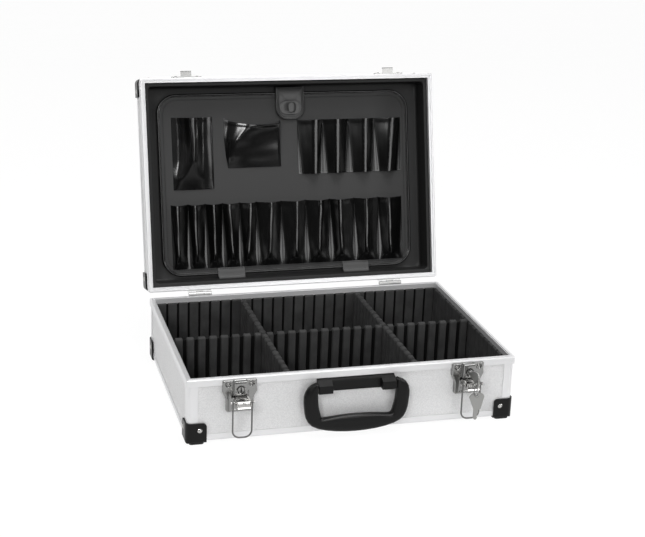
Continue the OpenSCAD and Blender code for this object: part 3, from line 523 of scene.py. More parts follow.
def rib_share(s, shift, half):
    """1 on a rib and 0 in the middle of a groove: 1 - exp(-(d / half)^6), where d
    is the distance from the groove's middle and half is half its width."""
    return 1 - np.exp(-(off_groove(s, shift) / half) ** 6)


print("share of a rib 2 mm off a groove", rib_share(2.0, 0, WALL_GROOVE).round(3))

# %% Wall lining
def wall_strip(half, reach, shift):
    """One wall's strip, standing in +Y on the line y = -reach, as a tube."""
    edge = half - PLAIN_END
    s = stations(-half, half, shift, (-edge, edge, -edge - RUN_OUT, edge + RUN_OUT))
    share = rib_share(s, shift, WALL_GROOVE) * np.clip((edge + RUN_OUT - np.abs(s)) / RUN_OUT, 0, 1)
    depth = SHEET - SUNK + (RIB + SUNK) * share
    r = np.minimum(SHOULDER, depth - FLAT)
    top = LINING_TOP - SUNK * (1 - share)
    a = np.linspace(0, math.pi / 2, 5)
    none, low = 0 * s, 0 * s + FLOOR_TOP
    u = np.stack([none, none, none + FLAT] + [depth - r + r * math.sin(k) for k in a] + [depth], 1)
    z = np.stack([low, top - FLAT, top] + [top - r + r * math.cos(k) for k in a] + [low], 1)
    return tube(np.stack([np.broadcast_to(s[:, None], u.shape), u - reach, z], -1))


def quarter(shape, turns):
    """Turns a shape about Z by a number of right angles."""
    c, s = [(1, 0), (0, 1), (-1, 0), (0, -1)][turns]
    x, y, z = shape[0].T
    return np.stack([c * x - s * y, s * x + c * y, z], 1), shape[1]


def lay_foam(name, shape, node, shade_half=DIVIDER_SHADE_HALF):
    """A foam piece, whose faces near a groove's middle get near black foam as
    painted groove shade. A strip along X has its grooves half a pitch off the
    middle, one along Y not."""
    thing = piece(name, shape, foam, "base", [node])
    spots = np.empty(3 * len(thing.data.polygons))
    thing.data.polygons.foreach_get("center", spots)
    x, y, z = spots.reshape(-1, 3).T / MM
    runs_x = (np.abs(y) > HALF_D - WALL_IN - SHEET - RIB - 0.2) | ("cross" in name)
    near = off_groove(np.where(runs_x, x, y), np.where(runs_x, 0.5, 0.0)) < shade_half
    # These faces get a second, near black material: painted shade in the grooves.
    thing.data.materials.append(groove_shade_foam)
    thing.data.polygons.foreach_set("material_index", near.astype(np.int32))


front = wall_strip(HALF_W - WALL_IN - SHEET, HALF_D - WALL_IN, 0.5)
side = wall_strip(HALF_D - WALL_IN - SHEET, HALF_W - WALL_IN, 0.0)
walls = merged([front, quarter(side, 1), quarter(front, 2), quarter(side, 3)])
lay_foam("ribbed_wall_lining", walls, "base_wall_lining", WALL_SHADE_HALF)
print("lining", len(walls[0]), "points,", len(walls[1]), "faces")

# %% Dividers and floor
def divider(low, high, skip_low, skip_high, shift):
    """A divider along X: a section 8.8 mm wide on its ribs and 2 mm wide in its
    grooves and at its tongues, which are as long as it skips ribs at its ends.
    Its top is round and dips at each groove."""
    rib_low, rib_high = low + skip_low, high - skip_high
    s = stations(low, high, shift, (rib_low, rib_low - 0.3, rib_high, rib_high + 0.3))
    inside = np.clip(np.minimum(s - rib_low, rib_high - s) / 0.3 + 1, 0, 1)
    share = rib_share(s, shift, DIVIDER_GROOVE) * inside
    half = 1.0 + 3.4 * share
    r = np.minimum(3.0, half * 0.95)
    top = DIVIDER_TOP - DIP * (1 - share)
    a = np.linspace(0, math.pi / 2, 6)
    y = np.stack([half] + [half - r + r * math.cos(k) for k in a], 1)
    z = np.stack([0 * s + FLOOR_TOP] + [top - r + r * math.sin(k) for k in a], 1)
    y, z = np.concatenate([y, -y[:, ::-1]], 1), np.concatenate([z, z[:, ::-1]], 1)
    return tube(np.stack([np.broadcast_to(s[:, None], y.shape), y, z], -1))


# The dividers end just off the wall's sheet. Across a long divider, a short one
# starts beside the core.
END_LONG = HALF_D - WALL_IN - SHEET - 0.3
END_CROSS = HALF_W - WALL_IN - SHEET - 0.3
POST = 5.5 * PITCH
CORE, TONGUE = 1.3, 3.4
for word, sign in HANDS:
    long_one = quarter(divider(-END_LONG, END_LONG, RIB, RIB, 0.0), 1)
    lay_foam(f"foam_long_divider_{word}", moved(long_one, lambda p: p + [sign * POST, 0, 0]),
             f"long_divider_{word}")
for word, low, high, skip_low, skip_high in (
        ("left", -END_CROSS, -POST - CORE, RIB, TONGUE), ("middle", CORE - POST, POST - CORE, TONGUE, TONGUE),
        ("right", POST + CORE, END_CROSS, TONGUE, RIB)):
    lay_foam(f"foam_cross_divider_{word}", divider(low, high, skip_low, skip_high, 0.5),
             f"cross_divider_{word}")
floor_sheet = slab(rounded_rect(HALF_W - WALL_IN, HALF_D - WALL_IN, 1.0, 4), FLOOR_TOP - 3, FLOOR_TOP, 0.8)
piece("floor_sheet", floor_sheet, foam, "base", ["base_floor_lining"])
print("long divider", len(long_one[1]), "faces")

# %% [markdown]
# ## Lining tray of the lid
#
# The lid is lined with leathercloth over a folded card tray with soft corners. It
# is one skin through a row of rounded rectangles: up the outside, over the edge,
# down the inside and across a fillet to the flat back.

# %% Lid tray
TRAY_LOW, TRAY_BACK, LID_CORE = 94.3, 130.6, 132.2
# Each row: how far in from the case's side, the corner's radius, the height.
TRAY_ROWS = [
    (6.0, 0.4, LID_CORE), (6.0, 0.4, TRAY_LOW + 1.2), (6.5, 0.6, TRAY_LOW + 0.3), (7.2, 1.0, TRAY_LOW),
    (11.3, 4.5, TRAY_LOW), (12.1, 5.4, TRAY_LOW + 0.3), (12.5, 6.0, TRAY_LOW + 1.2),
    (12.5, 6.0, TRAY_BACK - 6.0), (12.9, 6.4, TRAY_BACK - 3.2), (14.4, 7.6, TRAY_BACK - 1.1),
    (17.0, 9.0, TRAY_BACK), (40.0, 12.0, TRAY_BACK)]
tray = tube(np.array([at_z(rounded_rect(HALF_W - by, HALF_D - by, r), z) for by, r, z in TRAY_ROWS]))
piece("lid_tray", moved(tray, opened), liner_cloth, "lid", ["lid_lining"])
print("tray walls are", TRAY_BACK - TRAY_LOW, "mm deep")

# %% [markdown]
# ## Tool panel
#
# A stiff board covered in grey leathercloth. Its rim is bound with black piping:
# a cord in a strip of cloth, with the cloth's folded edge beside it, so it reads
# as a thick line and a thin one. The piping is one section of two beads carried
# round the outline, which keeps both lines true in the corners.

# %% Panel, piping and stitches
FACE, BACK = 127.2, 130.6
BOARD, BOARD_MIDDLE = (196.5, 136.0, 27.5), (0, 2.5)
SEAM = (190.0, 129.5, 22.0)
board_shape = slab(rounded_rect(*BOARD, 12, BOARD_MIDDLE), FACE, BACK, 1.2)
piece("covered_board", moved(board_shape, opened), board_cloth, "lid", ["tool_panel"])

# A cord of 1.7 mm radius, a fold of 1.2 mm, and a floor between them.
a = np.linspace(-2.5, 2.5, 21)
cord_bead = 0.8 + np.sqrt(np.maximum(1.7 ** 2 - (a - 0.8) ** 2, 0))
fold_bead = 0.3 + np.sqrt(np.maximum(1.2 ** 2 - (a + 1.3) ** 2, 0))
front_of = np.where(a > -0.5, cord_bead, fold_bead)
front_of = np.maximum(front_of, np.where(np.abs(a + 0.5) < 0.5, 0.6, 0.0))
section = np.concatenate([np.stack([front_of, a], 1), [[-1.2, 2.2], [-1.2, -2.2]]])
piping = along(at_z(rounded_rect(*BOARD, 14, BOARD_MIDDLE), FACE + 0.9), section, TO_VIEWER, closed=True)
piece("bound_piping", moved(piping, opened), pocket_cloth, "lid", ["panel_piping"])

THREADS = []


def sew(path, pitch=3.3, closed=False, length=2.3):
    """Adds a line of stitches along a path of points in the shut lid."""
    THREADS.append(stitches(*spaced(np.asarray(path, float), pitch, closed), length))


sew(at_z(rounded_rect(*SEAM, 14, BOARD_MIDDLE), FACE - 0.05), closed=True)
print("piping", len(piping[1]), "faces")

# %% [markdown]
# ## Pockets of the tool panel
#
# Each pocket is a strip of gloss leathercloth, sewn down along both sides and its
# foot. It is longer than the gap that it spans, so it stands off in a sharp
# crease and its flanks hang in. A pocket is drawn as a few sections from mouth
# to foot, each a bent line of as many points in (across, height), and the sheet
# is blended between them, slightly wrinkled and made 1.2 mm thick.

# %% Draped sheet
def shell(points, thickness):
    """A sheet of points made thick: a second sheet lies behind the first by the
    thickness along its normals, and strips of quads close the four edges."""
    across, down = np.gradient(points, axis=1), np.gradient(points, axis=0)
    normal = np.cross(across, down)
    normal /= np.linalg.norm(normal, axis=2, keepdims=True) + 1e-12
    if normal[..., 2].mean() > 0:
        normal = -normal
    loops = np.concatenate([points, (points - thickness * normal)[:, ::-1]], 1)
    verts, faces = grid(loops, wrap_columns=True)
    count, columns = loops.shape[1], points.shape[1]
    for start in (0, len(verts) - count):
        faces += [[start + j, start + j + 1, start + count - 2 - j, start + count - 1 - j]
                  for j in range(columns - 1)]
    return verts, faces


THICKNESS, PER_BEND = 1.2, 5


def draped(sections, mouth, foot, seed, rows=30, wrinkle=0.1, sag=0.0, lean=0.0):
    """A pocket's sheet. sections maps a share of the way from mouth to foot to a
    list of (x, height). Those are blended in a line, and the bends are eased by
    averaging neighbours. Wrinkles are three sine waves that fade at the seams. The
    mouth's edge leans to its right and sags by a parabola."""
    shares = np.array(sorted(sections))
    table = np.array([sections[k] for k in shares], float)
    v = np.linspace(0, 1, rows)
    knots = table.shape[1]
    blended = np.stack([[np.interp(v, shares, table[:, i, k]) for i in range(knots)] for k in range(2)])
    t = np.linspace(0, knots - 1, (knots - 1) * PER_BEND + 1)
    x, h = np.array([[np.interp(t, np.arange(knots), plane[:, r]) for r in range(rows)] for plane in blended])
    for sheet in (x, h):
        sheet[:, 1:-1] = 0.25 * sheet[:, :-2] + 0.5 * sheet[:, 1:-1] + 0.25 * sheet[:, 2:]
    phase = np.random.default_rng(seed).uniform(0, 6.28, 6)
    q = t / t[-1]
    fade = np.clip(h / 4.0, 0, 1)
    waves = (np.sin(9 * q + 5 * v[:, None] + phase[0]) + 0.7 * np.sin(17 * q - 11 * v[:, None] + phase[1])
             + 0.5 * np.sin(7 * q + 23 * v[:, None] + phase[2]))
    h = h + wrinkle * waves * fade
    bow = (sag * (1 - (2 * q - 1) ** 2) + lean * (q - 1)) * np.exp(-v[:, None] * 4)
    y = mouth + (foot - mouth) * v[:, None] + bow
    hem = 0.45 / (1 + np.exp(((y - mouth - bow) - 5.0) * 3))
    return shell(np.stack([x, y, FACE - np.maximum(h + hem * fade, 0.15)], -1), THICKNESS)


def tent(low, high, ridge, height, crease, flat, hang=0.5):
    """Ten points of a section: the sheet lies flat beside both seams, and its
    flanks then rise, hollow, to a crease that is flat on top."""
    def flank(seam, end):
        start = seam + math.copysign(flat, end - seam)
        run = end - start
        return [(seam, 0.5), (start, 0.8), (start + 0.5 * run, height * hang),
                (start + 0.85 * run, height * 0.8), (end, height)]
    return flank(low, ridge - crease) + flank(high, ridge + crease)[::-1]


def pocket_piece(name, shape, node):
    """A pocket drawn in the shut lid, whose folds stay soft up to 60 degrees."""
    piece(name, moved(shape, opened), pocket_cloth, "lid", [node], sharp=60)


print("a tent has", len(tent(0, 40, 20, 12, 2, 1)), "points")

# %% The row of driver pockets
ROW_MOUTH, ROW_FOOT = 31.0, 130.0
NARROW = 5
SEAMS = [-183.0, -156.4, -129.8, -103.2, -76.6, -50.0, -10.8, 28.4, 67.6, 106.8, 146.0, 185.0]
RIDGES = [(-174.8, -175.2), (-147.9, -147.3), (-118.9, -118.5), (-94.5, -90.8), (-61.4, -66.5),
          (-29.0, -33.4), (12.0, 9.5), (49.9, 45.5), (81.3, 82.7), (124.7, 123.3), (161.6, 162.4)]
row = []
for i, (top_ridge, low_ridge) in enumerate(RIDGES):
    low, high = SEAMS[i], SEAMS[i + 1]
    gap, full = (4.6, 11.6) if i < NARROW else (5.6, 13.0)
    row.append(draped({
        0.0: tent(low, high, top_ridge, full, 1.9, 0.3),
        0.14: tent(low, high, top_ridge, full, 1.7, 0.8),
        0.8: tent(low, high, low_ridge, full * 0.86, 1.4, gap),
        0.91: tent(low, high, low_ridge, full * 0.66, 2.2, gap * 0.8),
        1.0: tent(low, high, low_ridge, 1.6, 3.2, 1.5, 0.8)},
        ROW_MOUTH, ROW_FOOT, i, sag=2.0, wrinkle=0.14))
    if i:
        sew([[low, ROW_MOUTH + 10, FACE - 1.0], [low, ROW_FOOT - 4, FACE - 1.0]], pitch=3.0)
for word, side, some in (("narrow", "left", row[:NARROW]), ("wide", "right", row[NARROW:])):
    pocket_piece(f"{word}_driver_pockets", merged(some), f"pocket_row_{side}")
print(len(row), "driver pockets")

# %% [markdown]
# **Tall and wide pocket.** The tall one stands in a ridge whose lower end opens
# into a gusset, so a fold runs from the ridge to both lower corners. The wide one
# is pulled out at its left end, and one curved fold runs down to its corner. The
# four loops are open at both ends and draw together towards their feet.

# %% Tall pocket
def seamed(left, right, *points):
    """A section from seam to seam, which both lie 0.3 mm off the panel."""
    return [(left, 0.3), *points, (right, 0.3)]


TALL, TALL_MOUTH, TALL_FOOT = (-177.5, -114.5), -101.0, 9.0
tall = draped({
    0.0: seamed(*TALL, (-168, 1.4), (-158, 9), (-152, 16.4), (-146, 16.8), (-140.5, 15.6), (-131, 6.5),
                (-124, 4.2), (-116, 3.2)),
    0.3: seamed(*TALL, (-167, 1.2), (-157, 9), (-150, 16.2), (-145, 16.6), (-139.5, 14.6), (-131, 6.0),
                (-124, 4.0), (-116, 3.0)),
    0.61: seamed(*TALL, (-168, 1.6), (-158, 8.4), (-148.6, 15.4), (-147.2, 15.8), (-142, 13.6), (-132, 6.4),
                 (-124, 4.0), (-116, 3.0)),
    0.84: seamed(*TALL, (-172, 3.0), (-167, 6.2), (-163, 7.0), (-147.0, 7.4), (-137, 7.0), (-131, 5.4),
                 (-123, 3.6), (-116, 2.6)),
    1.0: seamed(*TALL, (-176, 0.8), (-172, 1.2), (-166, 1.4), (-147.0, 1.6), (-136, 1.4), (-128, 1.2),
                (-121, 1.0), (-116, 0.8))},
    TALL_MOUTH, TALL_FOOT, 21, rows=46, sag=1.5)
pocket_piece("tall_tool_pocket", tall, "tall_pocket")
print("tall pocket", len(tall[1]), "faces")

# %% Wide pocket
WIDE_RIGHT, WIDE_MOUTH, WIDE_FOOT = -8.6, -92.6, -22.0
wide = draped({
    0.0: seamed(-97, WIDE_RIGHT, (-90, 2.2), (-78, 9.5), (-62, 15.4), (-50, 15.6), (-34, 15.2),
                (-20, 14.4), (-10.5, 13.2)),
    0.12: seamed(-97, WIDE_RIGHT, (-91, 2.0), (-80, 9.6), (-66, 14.8), (-62, 15.0), (-40, 13.4),
                 (-22, 12.4), (-10.5, 11.4)),
    0.38: seamed(-97, WIDE_RIGHT, (-93, 2.2), (-87, 8.0), (-79.5, 12.4), (-76.5, 12.6), (-56, 10.0),
                 (-30, 9.0), (-10.5, 8.0)),
    0.76: seamed(-95, WIDE_RIGHT, (-93.5, 1.6), (-91.5, 4.6), (-89, 6.4), (-87, 6.6), (-60, 4.6),
                 (-32, 4.2), (-10.5, 3.8)),
    1.0: seamed(-92, WIDE_RIGHT, (-91.6, 0.5), (-91.0, 0.8), (-90.4, 1.0), (-88, 1.1), (-60, 1.1),
                (-32, 1.1), (-10.5, 1.0))},
    WIDE_MOUTH, WIDE_FOOT, 22, rows=40, wrinkle=0.12, sag=9.0, lean=6.0)
pocket_piece("wide_tool_pocket", wide, "wide_pocket")
print("wide pocket", len(wide[1]), "faces")

# %% Tool loops
LOOP_TOP, LOOP_FOOT = -92.6, -9.0
# Each loop: its seams at the top and at the foot, then where its ridge runs.
LOOPS = [(19.0, 59.2, 26.0, 56.4, 46.5, 43.5), (59.6, 101.2, 66.8, 95.8, 81.7, 79.1),
         (101.6, 142.2, 107.6, 136.5, 127.0, 124.0), (142.6, 186.0, 151.5, 181.0, 171.0, 163.0)]
loops_made = []
for i, (l0, r0, l1, r1, top_ridge, low_ridge) in enumerate(LOOPS):
    loops_made.append(draped({
        0.0: tent(l0, r0, top_ridge, 12.6, 2.6, 0.4, 0.48),
        1.0: tent(l0, r0, low_ridge, 12.2, 2.2, max(l1 - l0, 1.0), 0.48)},
        LOOP_TOP, LOOP_FOOT, 40 + i, sag=0.6, wrinkle=0.06))
    for x_top, x_low in ((l0, l1), (r0, r1)):
        sew([[x_top, LOOP_TOP + 8, FACE - 1.1], [(x_top + x_low) / 2, LOOP_FOOT - 2, FACE - 1.1]])
pocket_piece("leather_loops", merged(loops_made), "tool_loops")
for path in ([(-175.5, -96), (-174.8, 2)], [(-94.5, -88), (-90, -26)], [(-174, 7.4), (-118, 6.6)]):
    sew([[x, y, FACE - 1.4 * (y > 6)] for x, y in path])
print("loops", sum(len(s[1]) for s in loops_made), "faces")

# %% [markdown]
# **Strap, eyelet and tabs.** The strap is two layers of leather, sewn round a
# cord at its edge, so its rim stands up as a bead. A pressed eyelet lets it
# button over a turning knob. The tabs are short leather hinges sewn over the
# panel's lower edge.

# %% Strap and eyelet
STRAP_X, STRAP_ROOT, STRAP_END, STRAP_Z = 8.0, -143.4, -93.0, 123.1
STRAP_HALF, END_R = 23.0, 18.0
BUTTON_Y = -112.0


def holed(outer, hole, low, high, r):
    """A plate with a hole and edges rounded by r: levels of the outline, then of
    the hole, in a ring. Both outlines have as many points in the same order."""
    corner = [(r, 0.0), (0.3 * r, 0.3 * r), (0.0, r)]
    levels = [(by, low + rise) for by, rise in corner] + [(by, high - rise) for by, rise in corner[::-1]]
    rows = [at_z(inset(outer, by), z) for by, z in levels]
    return grid(np.array(rows + [at_z(inset(hole, -by), z) for by, z in levels[::-1]]), True, True)


# The strap's end is round, and its root keeps nearly its full width.
MIDDLE, EYE = (STRAP_X, (STRAP_ROOT + STRAP_END) / 2), (STRAP_X, BUTTON_Y)
outline = rounded_rect(STRAP_HALF, (STRAP_END - STRAP_ROOT) / 2, END_R, 8, MIDDLE)
aside = outline[:, 0] - STRAP_X
outline[:, 0] = STRAP_X + np.where(outline[:, 1] < STRAP_ROOT + END_R,
                                   np.sign(aside) * np.maximum(np.abs(aside), STRAP_HALF - 0.6), aside)
body = holed(outline, rounded_rect(8.8, 8.6, 6.0, 8, EYE), STRAP_Z + 0.2, STRAP_Z + 2.2, 0.7)
bead = along(at_z(inset(outline, 1.1), STRAP_Z + 0.5), ring_of(1.0, 8), TO_VIEWER, closed=True)
piece("leather_strap", moved(merged([body, bead]), opened), strap_cloth, "strap", ["panel_strap"], sharp=60)
spot, ahead = spaced(at_z(inset(outline, 4.6), STRAP_Z + 0.15), 2.6, True)
keep = spot[:, 1] > STRAP_ROOT + 12
piece("strap_thread", moved(stitches(spot[keep], ahead[keep], 1.9), opened), thread, "strap")
eyelet = holed(rounded_rect(16.5, 10.6, 9.0, 8, EYE), rounded_rect(8.4, 8.0, 6.0, 8, EYE),
               STRAP_Z - 1.4, STRAP_Z + 0.3, 0.7)
piece("pressed_eyelet", moved(eyelet, opened), dull_metal, "strap", ["strap_eyelet"])
print("strap", len(body[1]) + len(bead[1]), "faces")

# %% Tabs and thread
# A tab's section in (y, z): sewn down on the panel, then turned over its edge.
TAB_PROFILE = np.array([[130.5, 127.1], [130.6, 126.2], [131.4, 125.9], [133.4, 125.4], [135.4, 124.5],
                        [138.0, 124.2], [142.0, 124.3], [145.0, 122.6], [146.4, 118.6], [147.4, 118.6],
                        [146.4, 123.2], [142.8, 125.6], [139.0, 125.5], [136.6, 126.2], [134.6, 127.1]])
TAB_ACROSS = np.array([0, 0.5, 1.5, 14, 28, 40.5, 41.5, 42])
TAB_PINCH = np.array([0.75, 0.93, 1, 1, 1, 1, 0.93, 0.75])
middle = TAB_PROFILE.mean(0)
yz = middle + (TAB_PROFILE - middle) * TAB_PINCH[:, None, None]
tabs = []
for low in (-114.0, 85.0):
    x = np.broadcast_to(low + TAB_ACROSS[:, None, None], (*yz.shape[:2], 1))
    tabs.append(tube(np.concatenate([x, yz], -1)))
    sew([[low + 2, 132.0, 125.6], [low + 40, 132.0, 125.6]], pitch=2.8, length=1.9)
piece("leather_tabs", moved(merged(tabs), opened), tab_cloth, "lid", ["panel_tabs"], sharp=50)
piece("panel_thread", moved(merged(THREADS), opened), thread, "lid")
print("stitches", sum(len(s[0]) for s in THREADS) // 20)

# %% [markdown]
# ## Draw latches
#
# Each latch is three pressings. The plate's edge rolls back to the panel and its
# rivets sit in round cups. The housing is a box with soft edges round the lock.
# The plate is a grid fitted between its outline's edges, with a height for every
# point, so the edge and the cups are one skin, as on a pressed sheet.

# %% A latch's own frame
LATCH_X, RIM_Z = 157.5, 87.0
# In a latch's own frame: up from the rim, and out from the front.
PLATE_TOP, PLATE_FOOT, PLATE_FRONT, PLATE_BACK = -2.0, -46.5, 3.3, -2.0
PIN_OUT, PIN_UP = 6.5, -26.0
CUPS, CUP_R, CUP_DEPTH = [(-15.4, -7.5), (15.4, -7.5)], 3.9, 2.0
EAR_X, EAR_R, EAR_T = 7.6, 2.6, 1.2


def at_front(x):
    """Maps (across, up from the base's rim, out from the front) to the frame."""
    return lambda p: np.stack([x + p[:, 0], -HALF_D - p[:, 2], RIM_Z + p[:, 1]], 1)


def latch_pair(name, shape, material, body, node):
    """The same latch part on the left and on the right."""
    for word, sign in HANDS:
        piece(f"{name}_{word}", moved(shape, at_front(sign * LATCH_X)), material,
              body.format(word), [f"{node}_{word}"])


def from_side(shape):
    """Lays a slab drawn as (out, up, across) down as (across, up, out)."""
    return shape[0][:, ::-1], shape[1]


def plate_half(up):
    """Half the plate's width: wide above, then in by a taper, corners cut."""
    return np.interp(up, [-46.5, -44.9, -29.0, -19.0, -3.6, -2.0], [16.4, 18.0, 18.0, 22.75, 22.75, 21.15])


def soft_step(x):
    """0 below 0, 1 above 1 and 3 x^2 - 2 x^3 between."""
    x = np.clip(x, 0, 1)
    return x * x * (3 - 2 * x)


def between(x, low, high, ease):
    """1 from low to high, but for a soft step inside each end."""
    return soft_step((x - low) / ease) * soft_step((high - x) / ease)


def rolled(distance, r):
    """The drop of an edge of radius r at a distance d from it:
    r - sqrt(r^2 - (r - d)^2), and none beyond r."""
    return r - np.sqrt(np.maximum(r ** 2 - (r - np.clip(distance, 0, r)) ** 2, 0))


print("half a plate's width at its taper", plate_half(-24.0).round(2))

# %% Latch plates
def pressed_plate():
    """The plate's front as a height over its outline, closed by a flat back. Its
    edge is rolled, its cups are dips, and the field round the lever is lower."""
    edge = np.array([0, 0.03, 0.12, 0.3, 0.6, 1.0, 1.5])
    field = np.linspace(PLATE_TOP - 2.2, PLATE_FOOT + 2.3, 88)
    up = np.concatenate([PLATE_TOP - edge, field, (PLATE_FOOT + edge)[::-1]])
    half = plate_half(up)[:, None]
    u = np.concatenate([edge - half, np.linspace(-1, 1, 61) * (half - 1.9), half - edge[::-1]], 1)
    rise = up[:, None] + 0 * u
    near = np.minimum(half - np.abs(u), np.minimum(PLATE_TOP - rise, rise - PLATE_FOOT))
    out = PLATE_FRONT - rolled(near, edge[-1])
    for x, y in CUPS:
        out -= CUP_DEPTH * soft_step((CUP_R - np.hypot(u - x, rise - y)) / 0.9)
    out -= 0.5 * between(u, -11.5, 11.5, 1.2) * between(rise, -43.5, -22.5, 1.2)
    skin = np.stack([u, rise, out], -1)
    back = np.stack([u, rise, np.full_like(u, PLATE_BACK)], -1)
    return tube(np.concatenate([skin, back[:, ::-1]], 1))


k = np.linspace(0.2, math.pi - 0.2, 9)
tip = np.stack([PIN_OUT + EAR_R * np.sin(k), PIN_UP - EAR_R * np.cos(k)], 1)
ear = np.concatenate([[[2.0, PIN_UP - EAR_R], [PIN_OUT, PIN_UP - EAR_R]], tip,
                      [[PIN_OUT, PIN_UP + EAR_R], [2.0, PIN_UP + EAR_R]]])
ears = [from_side(slab(ear, at - EAR_T / 2, at + EAR_T / 2, 0.25)) for at in (-EAR_X, EAR_X)]
plate = merged([pressed_plate()] + ears)
latch_pair("pressed_latch_plate", plate, pressed_steel, "base", "latch_plate")
print("latch plate", len(plate[1]), "faces")

# %% Lock housings
BORE_R = 4.5
block = rounded_rect(8.95, 9.9, 1.6, 8, (0, -11.5))
bore = rounded_rect(BORE_R, BORE_R, BORE_R, 8, (0, -13.0))
# The block flares out where it meets the plate.
FLARE = ((-0.8, 3.0), (-0.7, 3.8), (-0.25, 4.6), (0.3, 5.2))
flare = tube(np.array([at_z(inset(block, by), z) for by, z in FLARE]))
housing = merged([holed(block, bore, 3.0, 10.0, 1.1), flare])
latch_pair("pressed_lock_housing", housing, pressed_steel, "base", "lock_housing")
print("lock housing", len(housing[1]), "faces")

# %% [markdown]
# **Draw lever.** It is bent from one blank: two side walls with pin holes, a web
# on top, and an end flap. The flap's upper part is rolled into two curls with a
# notch between them, and its lower part turns out again as a lip for a finger.

# %% Draw levers
# From the lever's pin: its length, half its width, the height of its web, the
# thickness of its walls and the radius round the pin.
LEVER_LONG, LEVER_HALF, WEB_TOP, LEVER_WALL, LEVER_EYE = 23.5, 9.8, 3.8, 1.3, 2.9
arc = np.linspace(math.pi * 0.5, math.pi * 1.5, 11)
wall_outline = [PIN_OUT, PIN_UP] + np.concatenate([
    np.stack([LEVER_EYE * np.cos(arc), LEVER_EYE * np.sin(arc)], 1),
    [[LEVER_LONG - 0.6, -2.9], [LEVER_LONG, -2.3], [LEVER_LONG, WEB_TOP - 1.6],
     [LEVER_LONG - 1.5, WEB_TOP - 0.1], [3.6, WEB_TOP - 0.1]]])


def lever_web():
    """The web and the flap as one sheet bent over a line of (out, up) points.
    On the flap, the curls bulge outwards but for a notch in the middle, and
    the web's middle is hollow by half a millimetre."""
    bend = np.linspace(0, math.pi / 2, 7)
    path_out = np.concatenate([np.linspace(3.2, LEVER_LONG - 2.2, 14), LEVER_LONG - 1.7 + 1.7 * np.sin(bend),
                               np.full(22, LEVER_LONG)])
    path_up = np.concatenate([np.full(14, WEB_TOP), WEB_TOP - 1.7 + 1.7 * np.cos(bend),
                              np.linspace(WEB_TOP - 2.0, -6.0, 22)])
    edge = np.array([0, 0.05, 0.2, 0.5, 0.9, 1.4])
    field = np.linspace(2.2 - LEVER_HALF, LEVER_HALF - 2.2, 41)
    u, out = np.meshgrid(np.concatenate([edge - LEVER_HALF, field, LEVER_HALF - edge[::-1]]), path_out)
    up = path_up[:, None] + 0 * u
    aside = np.abs(u)
    drop = rolled(LEVER_HALF - aside, 1.3)
    on_web = soft_step((LEVER_LONG - 1.5 - out) / 1.5)
    on_flap = 1 - on_web
    notched = soft_step((aside - 0.8) / 0.5) * soft_step((8.6 - aside) / 0.8)
    curl = np.sqrt(np.maximum(1 - ((up - 0.9) / 1.9) ** 2, 0)) * notched
    lip = soft_step((-3.0 - up) / 3.0)
    hollow = 0.55 * between(u, -7.0, 7.0, 1.0) * between(out, 6.0, 20.0, 1.5)
    rise = up - (drop + hollow) * on_web
    reach = out + (1.2 * curl + lip - 0.4 * drop - 1.2) * on_flap
    skin = np.stack([u, PIN_UP + rise, PIN_OUT + np.minimum(reach, LEVER_LONG)], -1)
    inner = np.stack([u * 0.97, PIN_UP + up - 1.2 * on_web - 0.1, PIN_OUT + reach - on_flap], -1)
    return tube(np.concatenate([skin, inner[:, ::-1]], 1))


side_walls = [from_side(slab(wall_outline, low, low + LEVER_WALL, 0.3))
              for low in (-LEVER_HALF, LEVER_HALF - LEVER_WALL)]
lever = merged(side_walls + [lever_web()])
latch_pair("pressed_draw_lever", lever, nickel, "lever_{}", "draw_lever")
print("draw lever", len(lever[1]), "faces")

# %% [markdown]
# ## Bead, feet and bails
#
# The grip has a polished bead under it, which follows a Bezier curve and turns
# up at its ends. A rubber foot stands under each corner guard. A bail is one
# wire that hangs from the lever's end by two flat eyes.

# %% Grip bead
GRIP_Y, GRIP_Z = -172.9, 64.0
k = np.linspace(0, 1, 12)[:, None]
shares = np.hstack([(1 - k) ** 3, 3 * (1 - k) ** 2 * k, 3 * (1 - k) * k ** 2, k ** 3])
half = shares @ np.array([[0, -37], [18, -37], [34, -38.8], [45.5, -40.2]])
bend = np.linspace(0, 1.35, 6)
turn_up = np.stack([45.5 + 4.2 * np.sin(bend), -36.0 - 4.2 * np.cos(bend)], 1)[1:]
half = np.concatenate([half, turn_up]) - [0, 1.4]
whole = np.concatenate([half[:0:-1] * [-1, 1], half])
bead_route = np.column_stack([whole[:, 0], np.full(len(whole), GRIP_Y), GRIP_Z + whole[:, 1]])
piece("grip_bead", along(bead_route, ring_of(1.35, 10), (0, 1, 0)), polished_plastic, "handle")
print("grip bead", len(bead_route), "rings")

# %% Rubber feet
FOOT_X, FOOT_Y = 213.5, 149.3
foot, faces = slab(rounded_rect(10.0, 9.5, 4.0, 8), -4.0, -1.9, 0.5)
feet = merged([(foot + [x, y, 0], faces) for x in (-FOOT_X, FOOT_X) for y in (-FOOT_Y, FOOT_Y)])
piece("rubber_feet", feet, rubber, "base")
print("feet", len(feet[1]), "faces")

# %% Wire bails
BAIL_HALF, BAIL_BEND, BAIL_UP, BAIL_OUT = 12.65, 9.5, -26.4, 20.0
WIRE_R, EYE_R, EYE_T = 1.12, 2.45, 2.3


def bail_path():
    """A bail from eye to eye as (across, up) from the eyes: a straight leg, a
    quarter circle and half of a straight foot, and then their mirror image."""
    k = np.linspace(0, math.pi / 2, 16)
    bend = np.stack([BAIL_HALF - BAIL_BEND * (1 - np.cos(k)), -39.9 - BAIL_BEND * np.sin(k)], 1)
    half = np.concatenate([[[BAIL_HALF, -1.6], [BAIL_HALF, -20.0]], bend])
    return np.concatenate([half, half[::-1] * [-1, 1]])


